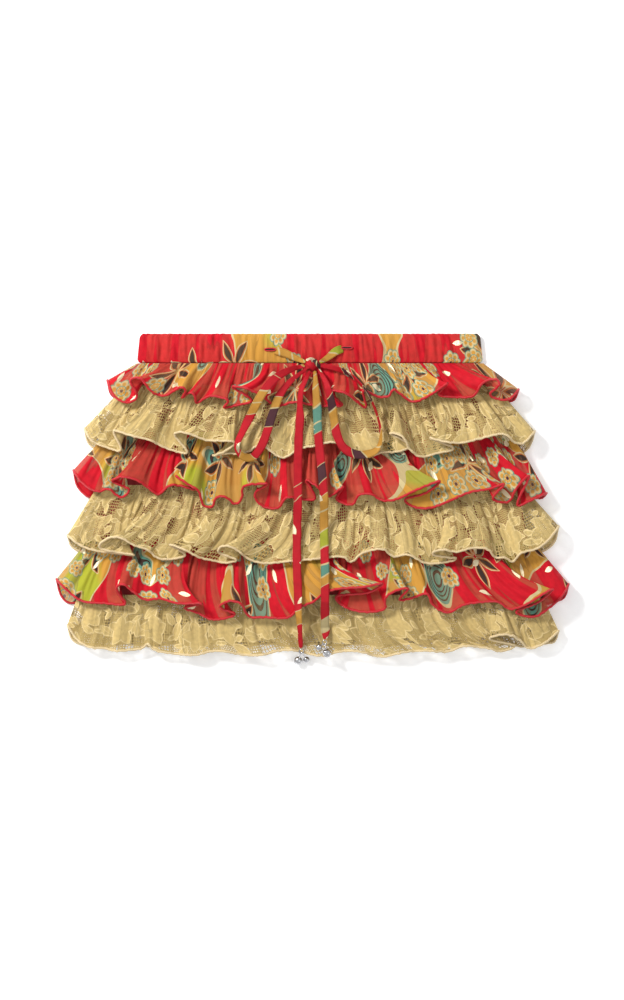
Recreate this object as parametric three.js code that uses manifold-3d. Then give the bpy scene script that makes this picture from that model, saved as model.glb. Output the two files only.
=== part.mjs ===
// Ruffled mini skirt, laid flat and face up: an elastic waistband with a flat tie,
// an A-line base, and six ruffle tiers sewn to its front and to its back.
// Millimetres. X runs to the right, Y up to the waist, Z up from the surface it lies on.
// The cloth is built in "down" coordinates (distance below the waistband's top edge).

import * as THREE from 'three';
import { mergeVertices } from 'three/addons/utils/BufferGeometryUtils.js';
import Module from 'manifold-3d';

// Cloth wall, gap between pieces that touch, and the thicker rolled hem
const WALL = 1;
const GAP = 0.3;
const HEM_WALL = 1.4;

// Waistband, flat size
const BAND_TOP_WIDTH = 341;
const BAND_LOW_WIDTH = 347;
const BAND_HEIGHT = 29.4;
const BAND_THICK = 3.6;
const BAND_GATHERS = 34;
const BAND_RIPPLE = 0.7;

// Middle level between front and back: low at the waistband, higher where ruffles lie below
const CORE_AT_WAIST = 3.8;
const CORE_IN_SKIRT = 10;

// Half width of the A-line base at each depth, where the tiers are sewn on
// columns: down, half width
const BASE_SHAPE = [
  [29.7, 169.5], [52, 180.5], [99, 198.5], [152, 208], [207, 218], [262, 228], [264, 228.4],
];

// Tiers: depth of each seam, and how far the hem stands off for the tier below it
// columns: seam down, hem rise, share of the depth where it starts, depth of the back's hem
const TIERS = [
  [30, 7.2, 0.2, 70], [52, 7.2, 0.35, 119], [99, 7.2, 0.35, 164],
  [152, 7.2, 0.35, 219], [207, 7.2, 0.35, 272], [262, -3.5, 0.35, 314],
];
// A tier's sides reach this far past the base's
const SEAM_OVERHANG = 4.2;
// Waves of a back hem, and their height
const BACK_WAVES = 10;
const BACK_LIFT = 4.2;

// Turns of each front hem from the left side to the right, as the ruffle folds to and fro
// columns: x, down, lift above the hem's low line
const HEMS = [
  // tier 1
  [
    [-203, 47, 2], [-195, 64, 2], [-182, 70, 2], [-172, 64, 5], [-180, 47, 14], [-170, 45, 17],
    [-157, 60, 8], [-144, 63, 4], [-129, 54, 14], [-123, 58, 12], [-129, 66, 4], [-119, 59, 10],
    [-115, 61, 10], [-114, 71, 2], [-101, 63, 8], [-81, 68, 6], [-87, 75, 1], [-73, 72, 0],
    [-57, 68, 4], [-78, 54, 12], [-66, 55, 17], [-48, 63, 10], [-34, 73, 2], [-16, 69, 5],
    [2, 72, 2], [33, 72, 0], [17, 58, 11], [35, 60, 15], [56, 75, 2], [53, 57, 13], [67, 64, 10],
    [80, 63, 8], [83, 56, 11], [102, 69, 3], [122, 61, 8], [138, 50, 16], [128, 62, 5],
    [145, 64, 2], [164, 63, 4], [171, 51, 13], [184, 46, 16], [190, 51, 14], [179, 62, 5],
    [198, 67, 1], [209, 56, 2],
  ],
  // tier 2
  [
    [-226, 95, 2], [-218, 108, 2], [-204, 114, 1], [-188, 118, 4], [-196, 98, 12], [-178, 103, 15],
    [-160, 107, 12], [-144, 115, 3], [-122, 120, 4], [-136, 100, 13], [-120, 101, 17],
    [-105, 107, 11], [-88, 108, 12], [-74, 109, 10], [-84, 118, 3], [-98, 123, 0], [-82, 120, 0],
    [-66, 121, 1], [-50, 112, 6], [-27, 125, 1], [-10, 115, 5], [5, 113, 6], [20, 109, 8],
    [31, 111, 7], [42, 120, 2], [58, 124, 1], [72, 119, 4], [86, 119, 0], [101, 113, 4],
    [79, 100, 12], [92, 103, 16], [100, 117, 9], [111, 124, 3], [127, 120, 0], [144, 116, 4],
    [119, 105, 12], [135, 109, 17], [151, 110, 14], [172, 105, 13], [194, 101, 14], [202, 108, 9],
    [212, 111, 3], [225, 98, 2],
  ],
  // tier 3
  [
    [-237, 137, 2], [-226, 151, 2], [-211, 159, 2], [-202, 155, 4], [-189, 165, 0], [-180, 157, 4],
    [-198, 148, 12], [-190, 144, 16], [-175, 146, 13], [-161, 155, 6], [-152, 162, 2],
    [-140, 152, 6], [-128, 153, 3], [-114, 157, 4], [-134, 143, 12], [-122, 151, 15],
    [-110, 159, 10], [-107, 173, 2], [-97, 174, 2], [-94, 164, 7], [-83, 164, 6], [-75, 172, 1],
    [-67, 164, 6], [-68, 154, 12], [-54, 151, 14], [-42, 151, 12], [-56, 161, 5], [-48, 173, 0],
    [-31, 175, 0], [-24, 164, 7], [-10, 166, 2], [6, 166, 3], [-4, 147, 12], [8, 154, 14],
    [18, 164, 6], [34, 153, 14], [26, 166, 2], [43, 172, 1], [48, 162, 7], [62, 161, 7],
    [70, 167, 3], [84, 167, 7], [106, 157, 13], [130, 148, 16], [116, 160, 8], [94, 167, 4],
    [104, 174, 0], [120, 175, 0], [139, 168, 4], [160, 159, 7], [179, 156, 9], [194, 151, 13],
    [182, 166, 5], [199, 169, 0], [206, 155, 9], [219, 142, 14], [207, 173, 0], [221, 167, 2],
    [237, 160, 2],
  ],
  // tier 4
  [
    [-243, 202, 2], [-230, 212, 2], [-217, 217, 2], [-196, 220, 0], [-175, 222, 4], [-211, 214, 10],
    [-204, 206, 15], [-190, 204, 17], [-176, 212, 12], [-161, 217, 7], [-153, 225, 2],
    [-138, 226, 1], [-124, 222, 4], [-141, 211, 12], [-126, 216, 15], [-109, 225, 7], [-98, 227, 1],
    [-84, 230, 0], [-73, 227, 4], [-93, 218, 10], [-84, 212, 16], [-71, 218, 12], [-63, 225, 5],
    [-48, 230, 2], [-20, 228, 3], [4, 226, 4], [35, 224, 4], [40, 230, 1], [52, 220, 7],
    [74, 216, 9], [83, 224, 3], [97, 221, 6], [115, 230, 1], [130, 230, 0], [146, 226, 4],
    [121, 221, 10], [131, 216, 16], [146, 219, 13], [160, 215, 11], [178, 216, 9], [185, 225, 3],
    [196, 224, 4], [202, 230, 1], [210, 220, 6], [226, 216, 5], [238, 207, 4], [249, 193, 2],
  ],
  // tier 5
  [
    [-254, 246, 2], [-242, 258, 2], [-228, 268, 2], [-205, 270, 1], [-184, 271, 3], [-194, 255, 12],
    [-187, 250, 16], [-176, 259, 10], [-164, 267, 5], [-150, 265, 6], [-133, 270, 12],
    [-107, 270, 13], [-126, 275, 5], [-111, 280, 2], [-101, 286, 0], [-88, 286, 0], [-74, 281, 4],
    [-91, 274, 10], [-79, 267, 16], [-68, 271, 13], [-61, 284, 3], [-48, 284, 3], [-20, 284, 3],
    [-11, 274, 8], [3, 269, 8], [15, 259, 13], [32, 255, 14], [52, 254, 15], [73, 250, 17],
    [60, 259, 9], [25, 264, 4], [35, 274, 0], [56, 279, 0], [76, 275, 3], [74, 266, 8],
    [86, 257, 13], [99, 255, 16], [88, 267, 3], [102, 265, 5], [117, 260, 10], [122, 271, 4],
    [138, 280, 1], [152, 272, 5], [170, 269, 6], [190, 269, 6], [198, 276, 4], [214, 272, 11],
    [235, 259, 16], [243, 255, 16], [228, 269, 8], [205, 279, 4], [224, 284, 0], [236, 277, 2],
    [251, 264, 2], [259, 251, 2],
  ],
  // tier 6
  [
    [-243, 292, 2], [-232, 308, 2], [-218, 315, 6], [-206, 315, 3], [-196, 318, 7], [-180, 317, 4],
    [-166, 315, 3], [-163, 309, 6], [-158, 316, 7], [-134, 321, 3], [-114, 322, 8], [-97, 318, 3],
    [-82, 319, 7], [-68, 322, 2], [-48, 322, 8], [-32, 318, 3], [-19, 317, 7], [-9, 319, 1],
    [12, 323, 7], [28, 319, 2], [46, 318, 8], [72, 324, 2], [90, 320, 8], [106, 318, 3],
    [122, 318, 8], [138, 319, 3], [153, 313, 8], [168, 314, 3], [182, 316, 5], [189, 319, 0],
    [206, 313, 3], [179, 306, 9], [192, 301, 15], [208, 305, 11], [215, 313, 4], [219, 316, 3],
    [235, 310, 6], [249, 298, 2],
  ],
];

// Flat tie: the route of each stretch over the ruffles
// columns: x, down, width, turn of the section in degrees (90 is edge-on)
const TIE_THICK = 1.2;
const TIE_STEP = 12;
const TIES = {
  tie_exit_left: [[-36, 17, 8, 0], [-26, 19.5, 8, 0], [-14, 25, 6, 0], [-4.4, 29.2, 3.2, 0]],
  tie_exit_right: [[33, 15, 8, 0], [26, 18, 8, 0], [17, 25, 6, 0], [9.4, 29.2, 3.2, 0]],
  tie_loop_left: [
    [-5.1, 32.6, 3.2, 0], [-18, 36, 6, 0], [-34, 45, 8.5, 0], [-47, 60, 8.5, 0], [-58, 80, 8.5, 0],
    [-67, 98, 8, 20], [-73, 114, 7, 40], [-66, 124, 8, 20], [-57, 124, 8, 10], [-49, 114, 8.5, 0],
    [-43, 99, 8.5, 0], [-37, 80, 8.5, 0], [-30, 62, 8, 0], [-19, 48, 5.5, 0], [-3.3, 35.6, 3, 0],
  ],
  tie_loop_right: [
    [10.1, 32.6, 3.2, 0], [24, 35, 6, 30], [40, 42, 7, 60], [54, 56, 7, 75], [64, 74, 7, 75],
    [70, 94, 7, 75], [70, 110, 7, 60], [58, 121, 8, 10], [44, 121, 8.5, 0], [33, 114, 8.5, 0],
    [27, 102, 8.5, 0], [24, 86, 8.5, 0], [21, 68, 8, 0], [16, 50, 5.5, 0], [8.4, 35.6, 3, 0],
  ],
  tie_end_left: [
    [0.2, 37.5, 3, 0], [-5, 48, 5, 10], [-9, 58, 6.5, 35], [-10, 68, 7, 40], [-10, 86, 8.5, 10],
    [-11, 100, 8.5, 0], [-12, 130, 8.5, 0], [-12, 165, 8.5, 0], [-13, 200, 8.5, 0],
    [-13, 235, 8.5, 0], [-12, 258, 8.5, 0], [-12, 272, 8, 20], [-11, 286, 7.5, 40],
    [-10, 299, 7, 50], [-9.5, 308, 5.5, 30], [-9, 315.5, 3, 0],
  ],
  tie_end_right: [
    [4.8, 37.5, 3, 0], [5.5, 47, 5, 0], [6, 58, 7, 0], [7, 72, 8.5, 0], [8, 100, 8.5, 0],
    [11, 130, 8.5, 0], [14, 165, 8.5, 0], [14, 200, 8.5, 0], [15, 235, 8.5, 0],
    [15, 265, 8.5, 0], [15, 290, 8.5, 0], [15.5, 299, 8, 0], [15.1, 306.5, 3.5, 0],
  ],
};

// Knot of the bow, and the length over which a strand drops from it to the cloth
const KNOT = { x: 2.5, down: 31.5, width: 14, height: 11, thick: 7.5 };
const KNOT_REACH = 8;

// Two bells and the ring they hang from, on each free end
// columns: x, down, radius
const CHARMS = {
  charm_left: { level: 'floor', balls: [[-12, 328, 4.6], [-3.6, 327, 3.4]], ring: [-8.6, 318.6, 2.6] },
  charm_right: { level: 'cloth', balls: [[17, 320, 4.6], [9, 314, 3.2]], ring: [14.6, 309.6, 2.6] },
};
const LINK_RADIUS = 1.1;

const clamp01 = (t) => Math.min(1, Math.max(0, t));

const smooth = (from, to, v) => {
  const t = clamp01((v - from) / (to - from));
  return t * t * (3 - 2 * t);
};

// Straight-line look-up in a table of [key, value] rows
function lookUp(table, key) {
  let i = 0;
  while (i < table.length - 2 && key > table[i + 1][0]) i += 1;
  const [k0, v0] = table[i];
  const [k1, v1] = table[i + 1];
  return v0 + ((v1 - v0) * (key - k0)) / (k1 - k0);
}

// The middle level rises from the waistband to the second tier's seam
const coreLevel = (down) => {
  const [[from], [to]] = TIERS;
  return CORE_AT_WAIST + (CORE_IN_SKIRT - CORE_AT_WAIST) * clamp01((down - from) / (to - from));
};

function betweenPoints(from, to, distance) {
  return from.clone().lerp(to, Math.min(0.9, distance / from.distanceTo(to)));
}

// Rounded line through rows of numbers, about one point every "step" mm in plan
function roundedLine(rows, step, least = 1) {
  const curve = new THREE.CatmullRomCurve3(
    rows.map(([x, down, lift]) => new THREE.Vector3(x, down, lift)),
  );
  const points = [];
  rows.slice(0, -1).forEach((row, i) => {
    const next = rows[i + 1];
    const chord = Math.hypot(next[0] - row[0], next[1] - row[1]);
    const parts = Math.max(least, Math.round(chord / step));
    for (let k = 0; k < parts; k += 1) {
      points.push(curve.getPoint((i + k / parts) / (rows.length - 1)));
    }
  });
  points.push(curve.getPoint(1));
  const nearStart = [4, 10].map((at) => betweenPoints(points[0], points[1], at));
  const nearEnd = [10, 4].map((at) => betweenPoints(points.at(-1), points.at(-2), at));
  return [points[0], ...nearStart, ...points.slice(1, -1), ...nearEnd, points.at(-1)];
}

function lengthsAlong(points) {
  const along = [0];
  for (let i = 1; i < points.length; i += 1) {
    along.push(along[i - 1] + points[i].distanceTo(points[i - 1]));
  }
  return along;
}

// Closed cloth wall around a grid of points: rows run down the cloth, columns across it
function clothWall(grid, thickness) {
  const rows = grid.length;
  const columns = grid[0].length;
  const last = columns - 1;
  const normals = grid.map((row, r) => row.map((point, c) => {
    const across = grid[r][Math.min(last, c + 1)].clone()
      .sub(grid[r][Math.max(0, c - 1)]);
    const along = grid[Math.min(rows - 1, r + 1)][c].clone()
      .sub(grid[Math.max(0, r - 1)][c]);
    return along.cross(across).normalize();
  }));
  const position = [];
  const outer = (r, c) => r * columns + c;
  const inner = (r, c) => rows * columns + r * columns + c;
  [0.5, -0.5].forEach((side) => {
    grid.forEach((row, r) => row.forEach((point, c) => {
      const moved = point.clone().addScaledVector(normals[r][c], side * thickness(r, c));
      position.push(moved.x, moved.y, moved.z);
    }));
  });
  const index = [];
  const quad = (a, b, c, d) => index.push(a, b, c, a, c, d);
  for (let r = 0; r < rows - 1; r += 1) {
    for (let c = 0; c < last; c += 1) {
      quad(outer(r, c), outer(r + 1, c), outer(r + 1, c + 1), outer(r, c + 1));
      quad(inner(r, c), inner(r, c + 1), inner(r + 1, c + 1), inner(r + 1, c));
    }
  }
  for (let c = 0; c < last; c += 1) {
    quad(outer(0, c), outer(0, c + 1), inner(0, c + 1), inner(0, c));
    quad(outer(rows - 1, c + 1), outer(rows - 1, c), inner(rows - 1, c), inner(rows - 1, c + 1));
  }
  for (let r = 0; r < rows - 1; r += 1) {
    quad(outer(r + 1, 0), outer(r, 0), inner(r, 0), inner(r + 1, 0));
    quad(outer(r, last), outer(r + 1, last), inner(r + 1, last), inner(r, last));
  }
  const geometry = new THREE.BufferGeometry();
  geometry.setAttribute('position', new THREE.Float32BufferAttribute(position, 3));
  geometry.setIndex(index);
  geometry.computeVertexNormals();
  return geometry;
}

const cloth = (color, roughness = 0.8) => new THREE.MeshStandardMaterial({
  color, roughness, metalness: 0, side: THREE.DoubleSide,
});
const CHIFFON = cloth(0xcf2a38);
const LACE = cloth(0xcbb47c);
const BAND = cloth(0xc9503a);
const TIE = cloth(0xd0202e);
const METAL = new THREE.MeshStandardMaterial({ color: 0xc8c8cc, roughness: 0.25, metalness: 1 });

const skirt = new THREE.Group();

function addPiece(name, geometry, material) {
  const piece = new THREE.Mesh(geometry, material);
  piece.name = name;
  skirt.add(piece);
  return piece;
}

// Rows from the top edge to the sewn lower edge: down, share of the full thickness
const BAND_ROWS = [[0, 0.72], [4.5, 1], [BAND_HEIGHT, 0.85]];

function bandGeometry(front) {
  const columns = front ? BAND_GATHERS * 2 : 12;
  const side = front ? 1 : -1;
  const position = [];
  [1, 0].forEach((outside) => {
    BAND_ROWS.forEach(([down, share]) => {
      const half = THREE.MathUtils.lerp(BAND_TOP_WIDTH, BAND_LOW_WIDTH, down / BAND_HEIGHT) / 2;
      for (let c = 0; c <= columns; c += 1) {
        const u = c / columns;
        const x = -half + 2 * half * u;
        const edge = Math.min(1, Math.sqrt(Math.min(half - Math.abs(x), 4) / 4) * 0.45 + 0.55);
        const wave = 0.5 - 0.5 * Math.cos(2 * Math.PI * BAND_GATHERS * u);
        const ripple = front ? BAND_RIPPLE * wave * (down < 1 ? 0.4 : 1) : 0;
        const height = outside ? BAND_THICK * share * edge - ripple : 0;
        const low = front ? GAP / 2 : -GAP / 2;
        const flat = front ? height : (outside ? BAND_THICK : 0);
        position.push(x, -down, CORE_AT_WAIST + low + side * flat);
      }
    });
  });
  const rows = BAND_ROWS.length;
  const at = (outside, r, c) => (outside ? 0 : rows * (columns + 1)) + r * (columns + 1) + c;
  const index = [];
  const quad = (a, b, c, d) => {
    if (front) index.push(a, b, c, a, c, d);
    else index.push(a, c, b, a, d, c);
  };
  for (let r = 0; r < rows - 1; r += 1) {
    for (let c = 0; c < columns; c += 1) {
      quad(at(1, r, c), at(1, r + 1, c), at(1, r + 1, c + 1), at(1, r, c + 1));
      quad(at(0, r, c), at(0, r, c + 1), at(0, r + 1, c + 1), at(0, r + 1, c));
    }
    quad(at(1, r + 1, 0), at(1, r, 0), at(0, r, 0), at(0, r + 1, 0));
    quad(at(1, r, columns), at(1, r + 1, columns), at(0, r + 1, columns), at(0, r, columns));
  }
  for (let c = 0; c < columns; c += 1) {
    quad(at(1, 0, c), at(1, 0, c + 1), at(0, 0, c + 1), at(0, 0, c));
    quad(at(1, rows - 1, c + 1), at(1, rows - 1, c), at(0, rows - 1, c), at(0, rows - 1, c + 1));
  }
  const geometry = new THREE.BufferGeometry();
  geometry.setAttribute('position', new THREE.Float32BufferAttribute(position, 3));
  geometry.setIndex(index);
  geometry.computeVertexNormals();
  return geometry;
}

addPiece('waistband_front', bandGeometry(true), BAND);
addPiece('waistband_back', bandGeometry(false), BAND);

// The base is a flat wall that follows the middle level, front over back
function baseGeometry(front) {
  const offset = (front ? 1 : -1) * (WALL / 2 + GAP / 2 + 0.05);
  const columns = 4;
  const grid = BASE_SHAPE.map(([down, half]) => {
    const row = [];
    for (let c = 0; c <= columns; c += 1) {
      row.push(new THREE.Vector3(-half + (2 * half * c) / columns, -down, coreLevel(down) + offset));
    }
    return row;
  });
  return clothWall(grid, () => WALL);
}

addPiece('skirt_base_front', baseGeometry(true), CHIFFON);
addPiece('skirt_base_back', baseGeometry(false), CHIFFON);

const FRONT_ROWS = [0, 0.3, 0.55, 0.78, 1];
const BACK_ROWS = [0, 0.4, 0.75, 1];
const HEM_STEP = 13;
const SEAM_LIFT = WALL / 2 + GAP + WALL + GAP / 2 + 0.15;
const EDGE_LIFT = WALL / 2 + GAP / 2;

// Share of the seam's width at each column: partly the length of hem up to it, partly
// the hem's x with its to-and-fro folds evened out
const LENGTH_SHARE = 0.65;

function seamShares(points, along) {
  const spread = 34;
  const total = along[along.length - 1];
  const first = points[0].x;
  const last = points[points.length - 1].x;
  const evened = along.map((at) => {
    let sum = 0;
    let weights = 0;
    for (let k = 1; k < points.length; k += 1) {
      const mid = (along[k] + along[k - 1]) / 2;
      const x = (points[k].x + points[k - 1].x) / 2;
      const part = along[k] - along[k - 1];
      [[mid, x], [-mid, 2 * first - x], [2 * total - mid, 2 * last - x]].forEach(([where, value]) => {
        const weight = part * Math.exp(-(((where - at) / spread) ** 2));
        sum += weight * value;
        weights += weight;
      });
    }
    return sum / weights;
  });
  const width = evened[evened.length - 1] - evened[0];
  return along.map((at, c) => LENGTH_SHARE * (at / total)
    + (1 - LENGTH_SHARE) * ((evened[c] - evened[0]) / width));
}

// How far the folds have opened at each share of the way from the seam to the hem
const foldSpread = (v) => v ** 3.2;
const foldLift = (v) => clamp01((v - 0.08) / 0.92);

// Grid of a ruffle: rows from the seam to the hem, columns along the folded hem
function ruffleGrid(rows, points, seamDown, front, level) {
  const along = lengthsAlong(points);
  const total = along[along.length - 1];
  const shares = seamShares(points, along);
  const half = lookUp(BASE_SHAPE, seamDown) + SEAM_OVERHANG;
  const left = points[0].x;
  const right = points[points.length - 1].x;
  return rows.map((v) => points.map((hem, c) => {
    const seamX = -half + 2 * half * shares[c];
    const fanX = left + (right - left) * shares[c];
    const x = seamX + (fanX - seamX) * v + (hem.x - fanX) * foldSpread(v);
    const down = seamDown + (hem.y - seamDown) * v;
    const inside = clamp01(Math.min(along[c], total - along[c]) / (3.2 + 9 * v));
    const round = Math.sqrt(1 - (1 - inside) ** 2);
    const edge = coreLevel(down) + (front ? EDGE_LIFT : -EDGE_LIFT);
    const z = edge + (level(v, down, hem.z) - edge) * round;
    return new THREE.Vector3(x, -down, z);
  }));
}

function frontTier(tier) {
  const [seamDown, rise, riseFrom] = TIERS[tier];
  const points = roundedLine(HEMS[tier], HEM_STEP);
  const level = (v, down, lift) => coreLevel(down) + SEAM_LIFT
    + rise * smooth(riseFrom, 0.95, v) + lift * foldLift(v);
  return ruffleGrid(FRONT_ROWS, points, seamDown, true, level);
}

// The back hem is an even run of low waves, from the same side corners as the front's
function backTier(tier) {
  const [seamDown, , , hemDown] = TIERS[tier];
  const front = HEMS[tier];
  const [leftX, leftDown] = front[0];
  const [rightX, rightDown] = front[front.length - 1];
  const rows = [[leftX, leftDown, 0], [leftX + 4, (leftDown + hemDown) / 2 + 3, 0]];
  const from = leftX + 14;
  const to = rightX - 14;
  const steps = BACK_WAVES * 4;
  for (let i = 0; i <= steps; i += 1) {
    const t = (2 * Math.PI * i) / 4 + tier * 0.9;
    const x = from + ((to - from) * i) / steps + 3.2 * Math.sin(t + 0.8);
    rows.push([x, hemDown - 1.5 + 1.5 * Math.sin(t), Math.max(0, Math.sin(t)) ** 1.2]);
  }
  rows.push([rightX - 4, (rightDown + hemDown) / 2 + 3, 0], [rightX, rightDown, 0]);
  const points = roundedLine(rows, 20);
  const level = (v, down, lift) => {
    const seam = coreLevel(down) - SEAM_LIFT;
    const fall = (seam - WALL / 2) * smooth(0.2, 0.9, v);
    const wave = (tier === 0 ? 0.7 : 1) * BACK_LIFT * clamp01(lift) * v ** 1.5;
    return Math.max(WALL / 2, seam - fall + wave);
  };
  return ruffleGrid(BACK_ROWS, points, seamDown, false, level);
}

const tierCloth = (tier) => (tier % 2 === 0 ? CHIFFON : LACE);
const hemWall = (r) => (r === FRONT_ROWS.length - 1 ? HEM_WALL : WALL);
const frontGrids = TIERS.map((row, tier) => frontTier(tier));
frontGrids.forEach((grid, tier) => {
  addPiece(`tier_${tier + 1}_front`, clothWall(grid, hemWall), tierCloth(tier));
});
TIERS.forEach((row, tier) => {
  addPiece(`tier_${tier + 1}_back`, clothWall(backTier(tier), () => WALL), tierCloth(tier));
});

// Height map of everything on the front, on a square grid
const CELL = 2;
const MAP_LEFT = -270;
const MAP_COLUMNS = 270;
const MAP_ROWS = 180;
const heights = new Float32Array(MAP_COLUMNS * MAP_ROWS).fill(CORE_AT_WAIST);

function addToMap(grid) {
  const fine = 6;
  for (let r = 0; r < grid.length - 1; r += 1) {
    for (let c = 0; c < grid[0].length - 1; c += 1) {
      for (let i = 0; i <= fine; i += 1) {
        for (let k = 0; k <= fine; k += 1) {
          const top = grid[r][c].clone().lerp(grid[r][c + 1], k / fine);
          const low = grid[r + 1][c].clone().lerp(grid[r + 1][c + 1], k / fine);
          const point = top.lerp(low, i / fine);
          const column = Math.round((point.x - MAP_LEFT) / CELL);
          const row = Math.round(-point.y / CELL);
          const cell = row * MAP_COLUMNS + column;
          heights[cell] = Math.max(heights[cell], point.z + HEM_WALL / 2);
        }
      }
    }
  }
}

frontGrids.forEach(addToMap);
const bandTop = CORE_AT_WAIST + GAP / 2 + BAND_THICK;
for (let row = 0; row <= Math.round(BAND_HEIGHT / CELL); row += 1) {
  for (let column = 0; column < MAP_COLUMNS; column += 1) {
    const x = MAP_LEFT + column * CELL;
    if (Math.abs(x) <= BAND_LOW_WIDTH / 2) heights[row * MAP_COLUMNS + column] = bandTop;
  }
}

// Highest point of the cloth within a radius
function topNear(x, down, radius) {
  let top = 0;
  const reach = Math.ceil(radius / CELL);
  const column = Math.round((x - MAP_LEFT) / CELL);
  const row = Math.round(down / CELL);
  for (let r = Math.max(0, row - reach); r <= row + reach; r += 1) {
    for (let c = column - reach; c <= column + reach; c += 1) {
      if (Math.hypot(c - column, r - row) * CELL <= radius + 0.5 * CELL) {
        top = Math.max(top, heights[r * MAP_COLUMNS + c]);
      }
    }
  }
  return top;
}

const knotLevel = topNear(KNOT.x, KNOT.down, 5) + GAP + KNOT.thick / 2;
const ringLevel = ([x, down, radius]) => topNear(x, down, radius / 2) + GAP + radius;

// Level at which a strand ends: the knot's middle, a charm's ring, or else on the cloth
function endLevel({ x, down, z }) {
  if (Math.hypot(x - KNOT.x, down - KNOT.down) < KNOT.width) return knotLevel;
  const charm = Object.values(CHARMS)
    .find(({ ring }) => Math.hypot(x - ring[0], down - ring[1]) < 2 * ring[2]);
  return charm ? ringLevel(charm.ring) : z;
}

// The tie's middle line: its route in plan, laid over the cloth and evened out
function tieLine(rows) {
  const plan = new THREE.CatmullRomCurve3(rows.map(([x, down]) => new THREE.Vector3(x, down, 0)));
  const widths = new THREE.CatmullRomCurve3(
    rows.map(([, , width, turn], i) => new THREE.Vector3(i * 10, width, turn)),
  );
  const count = Math.ceil(plan.getLength() / 2);
  const fine = [];
  for (let i = 0; i <= count; i += 1) {
    const t = plan.getUtoTmapping(i / count);
    const at = plan.getPoint(t);
    const size = widths.getPoint(t);
    const turn = THREE.MathUtils.degToRad(size.z);
    const stand = (size.y / 2) * Math.sin(turn) + (TIE_THICK / 2) * Math.cos(turn);
    const reach = (size.y / 2) * Math.cos(turn) + 1;
    fine.push({
      x: at.x, down: at.y, width: size.y, turn, top: topNear(at.x, at.y, reach) + stand + GAP,
    });
  }
  const window = (i, take) => {
    const half = Math.min(6, i, fine.length - 1 - i);
    return fine.slice(i - half, i + half + 1).map(take);
  };
  fine.forEach((point, i) => { point.high = Math.max(...window(i, (p) => p.top)); });
  fine.forEach((point, i) => {
    const highs = window(i, (p) => p.high);
    point.z = highs.reduce((a, b) => a + b, 0) / highs.length;
  });
  [fine[0], fine[fine.length - 1]].forEach((end) => {
    const level = endLevel(end);
    fine.forEach((point) => {
      const away = Math.hypot(end.x - point.x, end.down - point.down);
      point.z = THREE.MathUtils.lerp(level, point.z, smooth(0, KNOT_REACH, away));
    });
  });
  return fine;
}

// Section of the tie, a flat strip with eased edges: across and through, from -1 to 1
const TIE_SECTION = [
  [-1, -0.4], [-0.85, -1], [0.85, -1], [1, -0.4], [1, 0.4], [0.85, 1], [-0.85, 1], [-1, 0.4],
];

function tieGeometry(fine) {
  const every = Math.round(TIE_STEP / 2);
  const stations = fine.filter((p, i) => i % every === 0 && fine.length - i > every / 2);
  stations.push(fine[fine.length - 1]);
  const centres = stations.map((p) => new THREE.Vector3(p.x, -p.down, p.z));
  const position = [];
  stations.forEach((station, i) => {
    const ahead = centres[Math.min(centres.length - 1, i + 1)].clone()
      .sub(centres[Math.max(0, i - 1)]).normalize();
    const flat = new THREE.Vector3(-ahead.y, ahead.x, 0).normalize();
    const up = ahead.clone().cross(flat).normalize();
    const across = flat.clone().multiplyScalar(Math.cos(station.turn))
      .addScaledVector(up, Math.sin(station.turn));
    const through = ahead.clone().cross(across).normalize();
    TIE_SECTION.forEach(([a, b]) => {
      const point = centres[i].clone()
        .addScaledVector(across, (a * station.width) / 2)
        .addScaledVector(through, (b * TIE_THICK) / 2);
      position.push(point.x, point.y, point.z);
    });
  });
  const sides = TIE_SECTION.length;
  const index = [];
  for (let i = 0; i < stations.length - 1; i += 1) {
    for (let k = 0; k < sides; k += 1) {
      const a = i * sides + k;
      const b = i * sides + ((k + 1) % sides);
      index.push(a, b, b + sides, a, b + sides, a + sides);
    }
  }
  const lastRing = (stations.length - 1) * sides;
  for (let k = 1; k < sides - 1; k += 1) {
    index.push(0, k + 1, k);
    index.push(lastRing, lastRing + k, lastRing + k + 1);
  }
  const geometry = new THREE.BufferGeometry();
  geometry.setAttribute('position', new THREE.Float32BufferAttribute(position, 3));
  geometry.setIndex(index);
  geometry.computeVertexNormals();
  return geometry;
}

Object.entries(TIES).forEach(([name, rows]) => {
  addPiece(name, tieGeometry(tieLine(rows)), TIE);
});
const knot = new THREE.SphereGeometry(1, 14, 9);
knot.rotateX(Math.PI / 2);
knot.scale(KNOT.width / 2, KNOT.height / 2, KNOT.thick / 2);
addPiece('tie_knot', knot, TIE).position.set(KNOT.x, -KNOT.down, knotLevel);

const wasm = await Module();
wasm.setup();

function toSolid(geometry) {
  const merged = mergeVertices(new THREE.BufferGeometry()
    .setAttribute('position', geometry.getAttribute('position'))
    .setIndex(geometry.getIndex()), 1e-4);
  return new wasm.Manifold(new wasm.Mesh({
    numProp: 3,
    vertProperties: new Float32Array(merged.getAttribute('position').array),
    triVerts: new Uint32Array(merged.getIndex().array),
  }));
}

function fromSolid(solid) {
  const mesh = solid.getMesh();
  const geometry = new THREE.BufferGeometry();
  geometry.setAttribute('position', new THREE.Float32BufferAttribute(mesh.vertProperties, 3));
  geometry.setIndex(Array.from(mesh.triVerts));
  geometry.computeVertexNormals();
  return geometry;
}

function ball(centre, radius) {
  const geometry = new THREE.SphereGeometry(radius, 10, 7);
  geometry.translate(centre.x, centre.y, centre.z);
  return toSolid(geometry);
}

function link(from, to) {
  const geometry = new THREE.CylinderGeometry(LINK_RADIUS, LINK_RADIUS, from.distanceTo(to), 6);
  geometry.applyQuaternion(new THREE.Quaternion().setFromUnitVectors(
    new THREE.Vector3(0, 1, 0),
    to.clone().sub(from).normalize(),
  ));
  geometry.translate((from.x + to.x) / 2, (from.y + to.y) / 2, (from.z + to.z) / 2);
  return toSolid(geometry);
}

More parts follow.
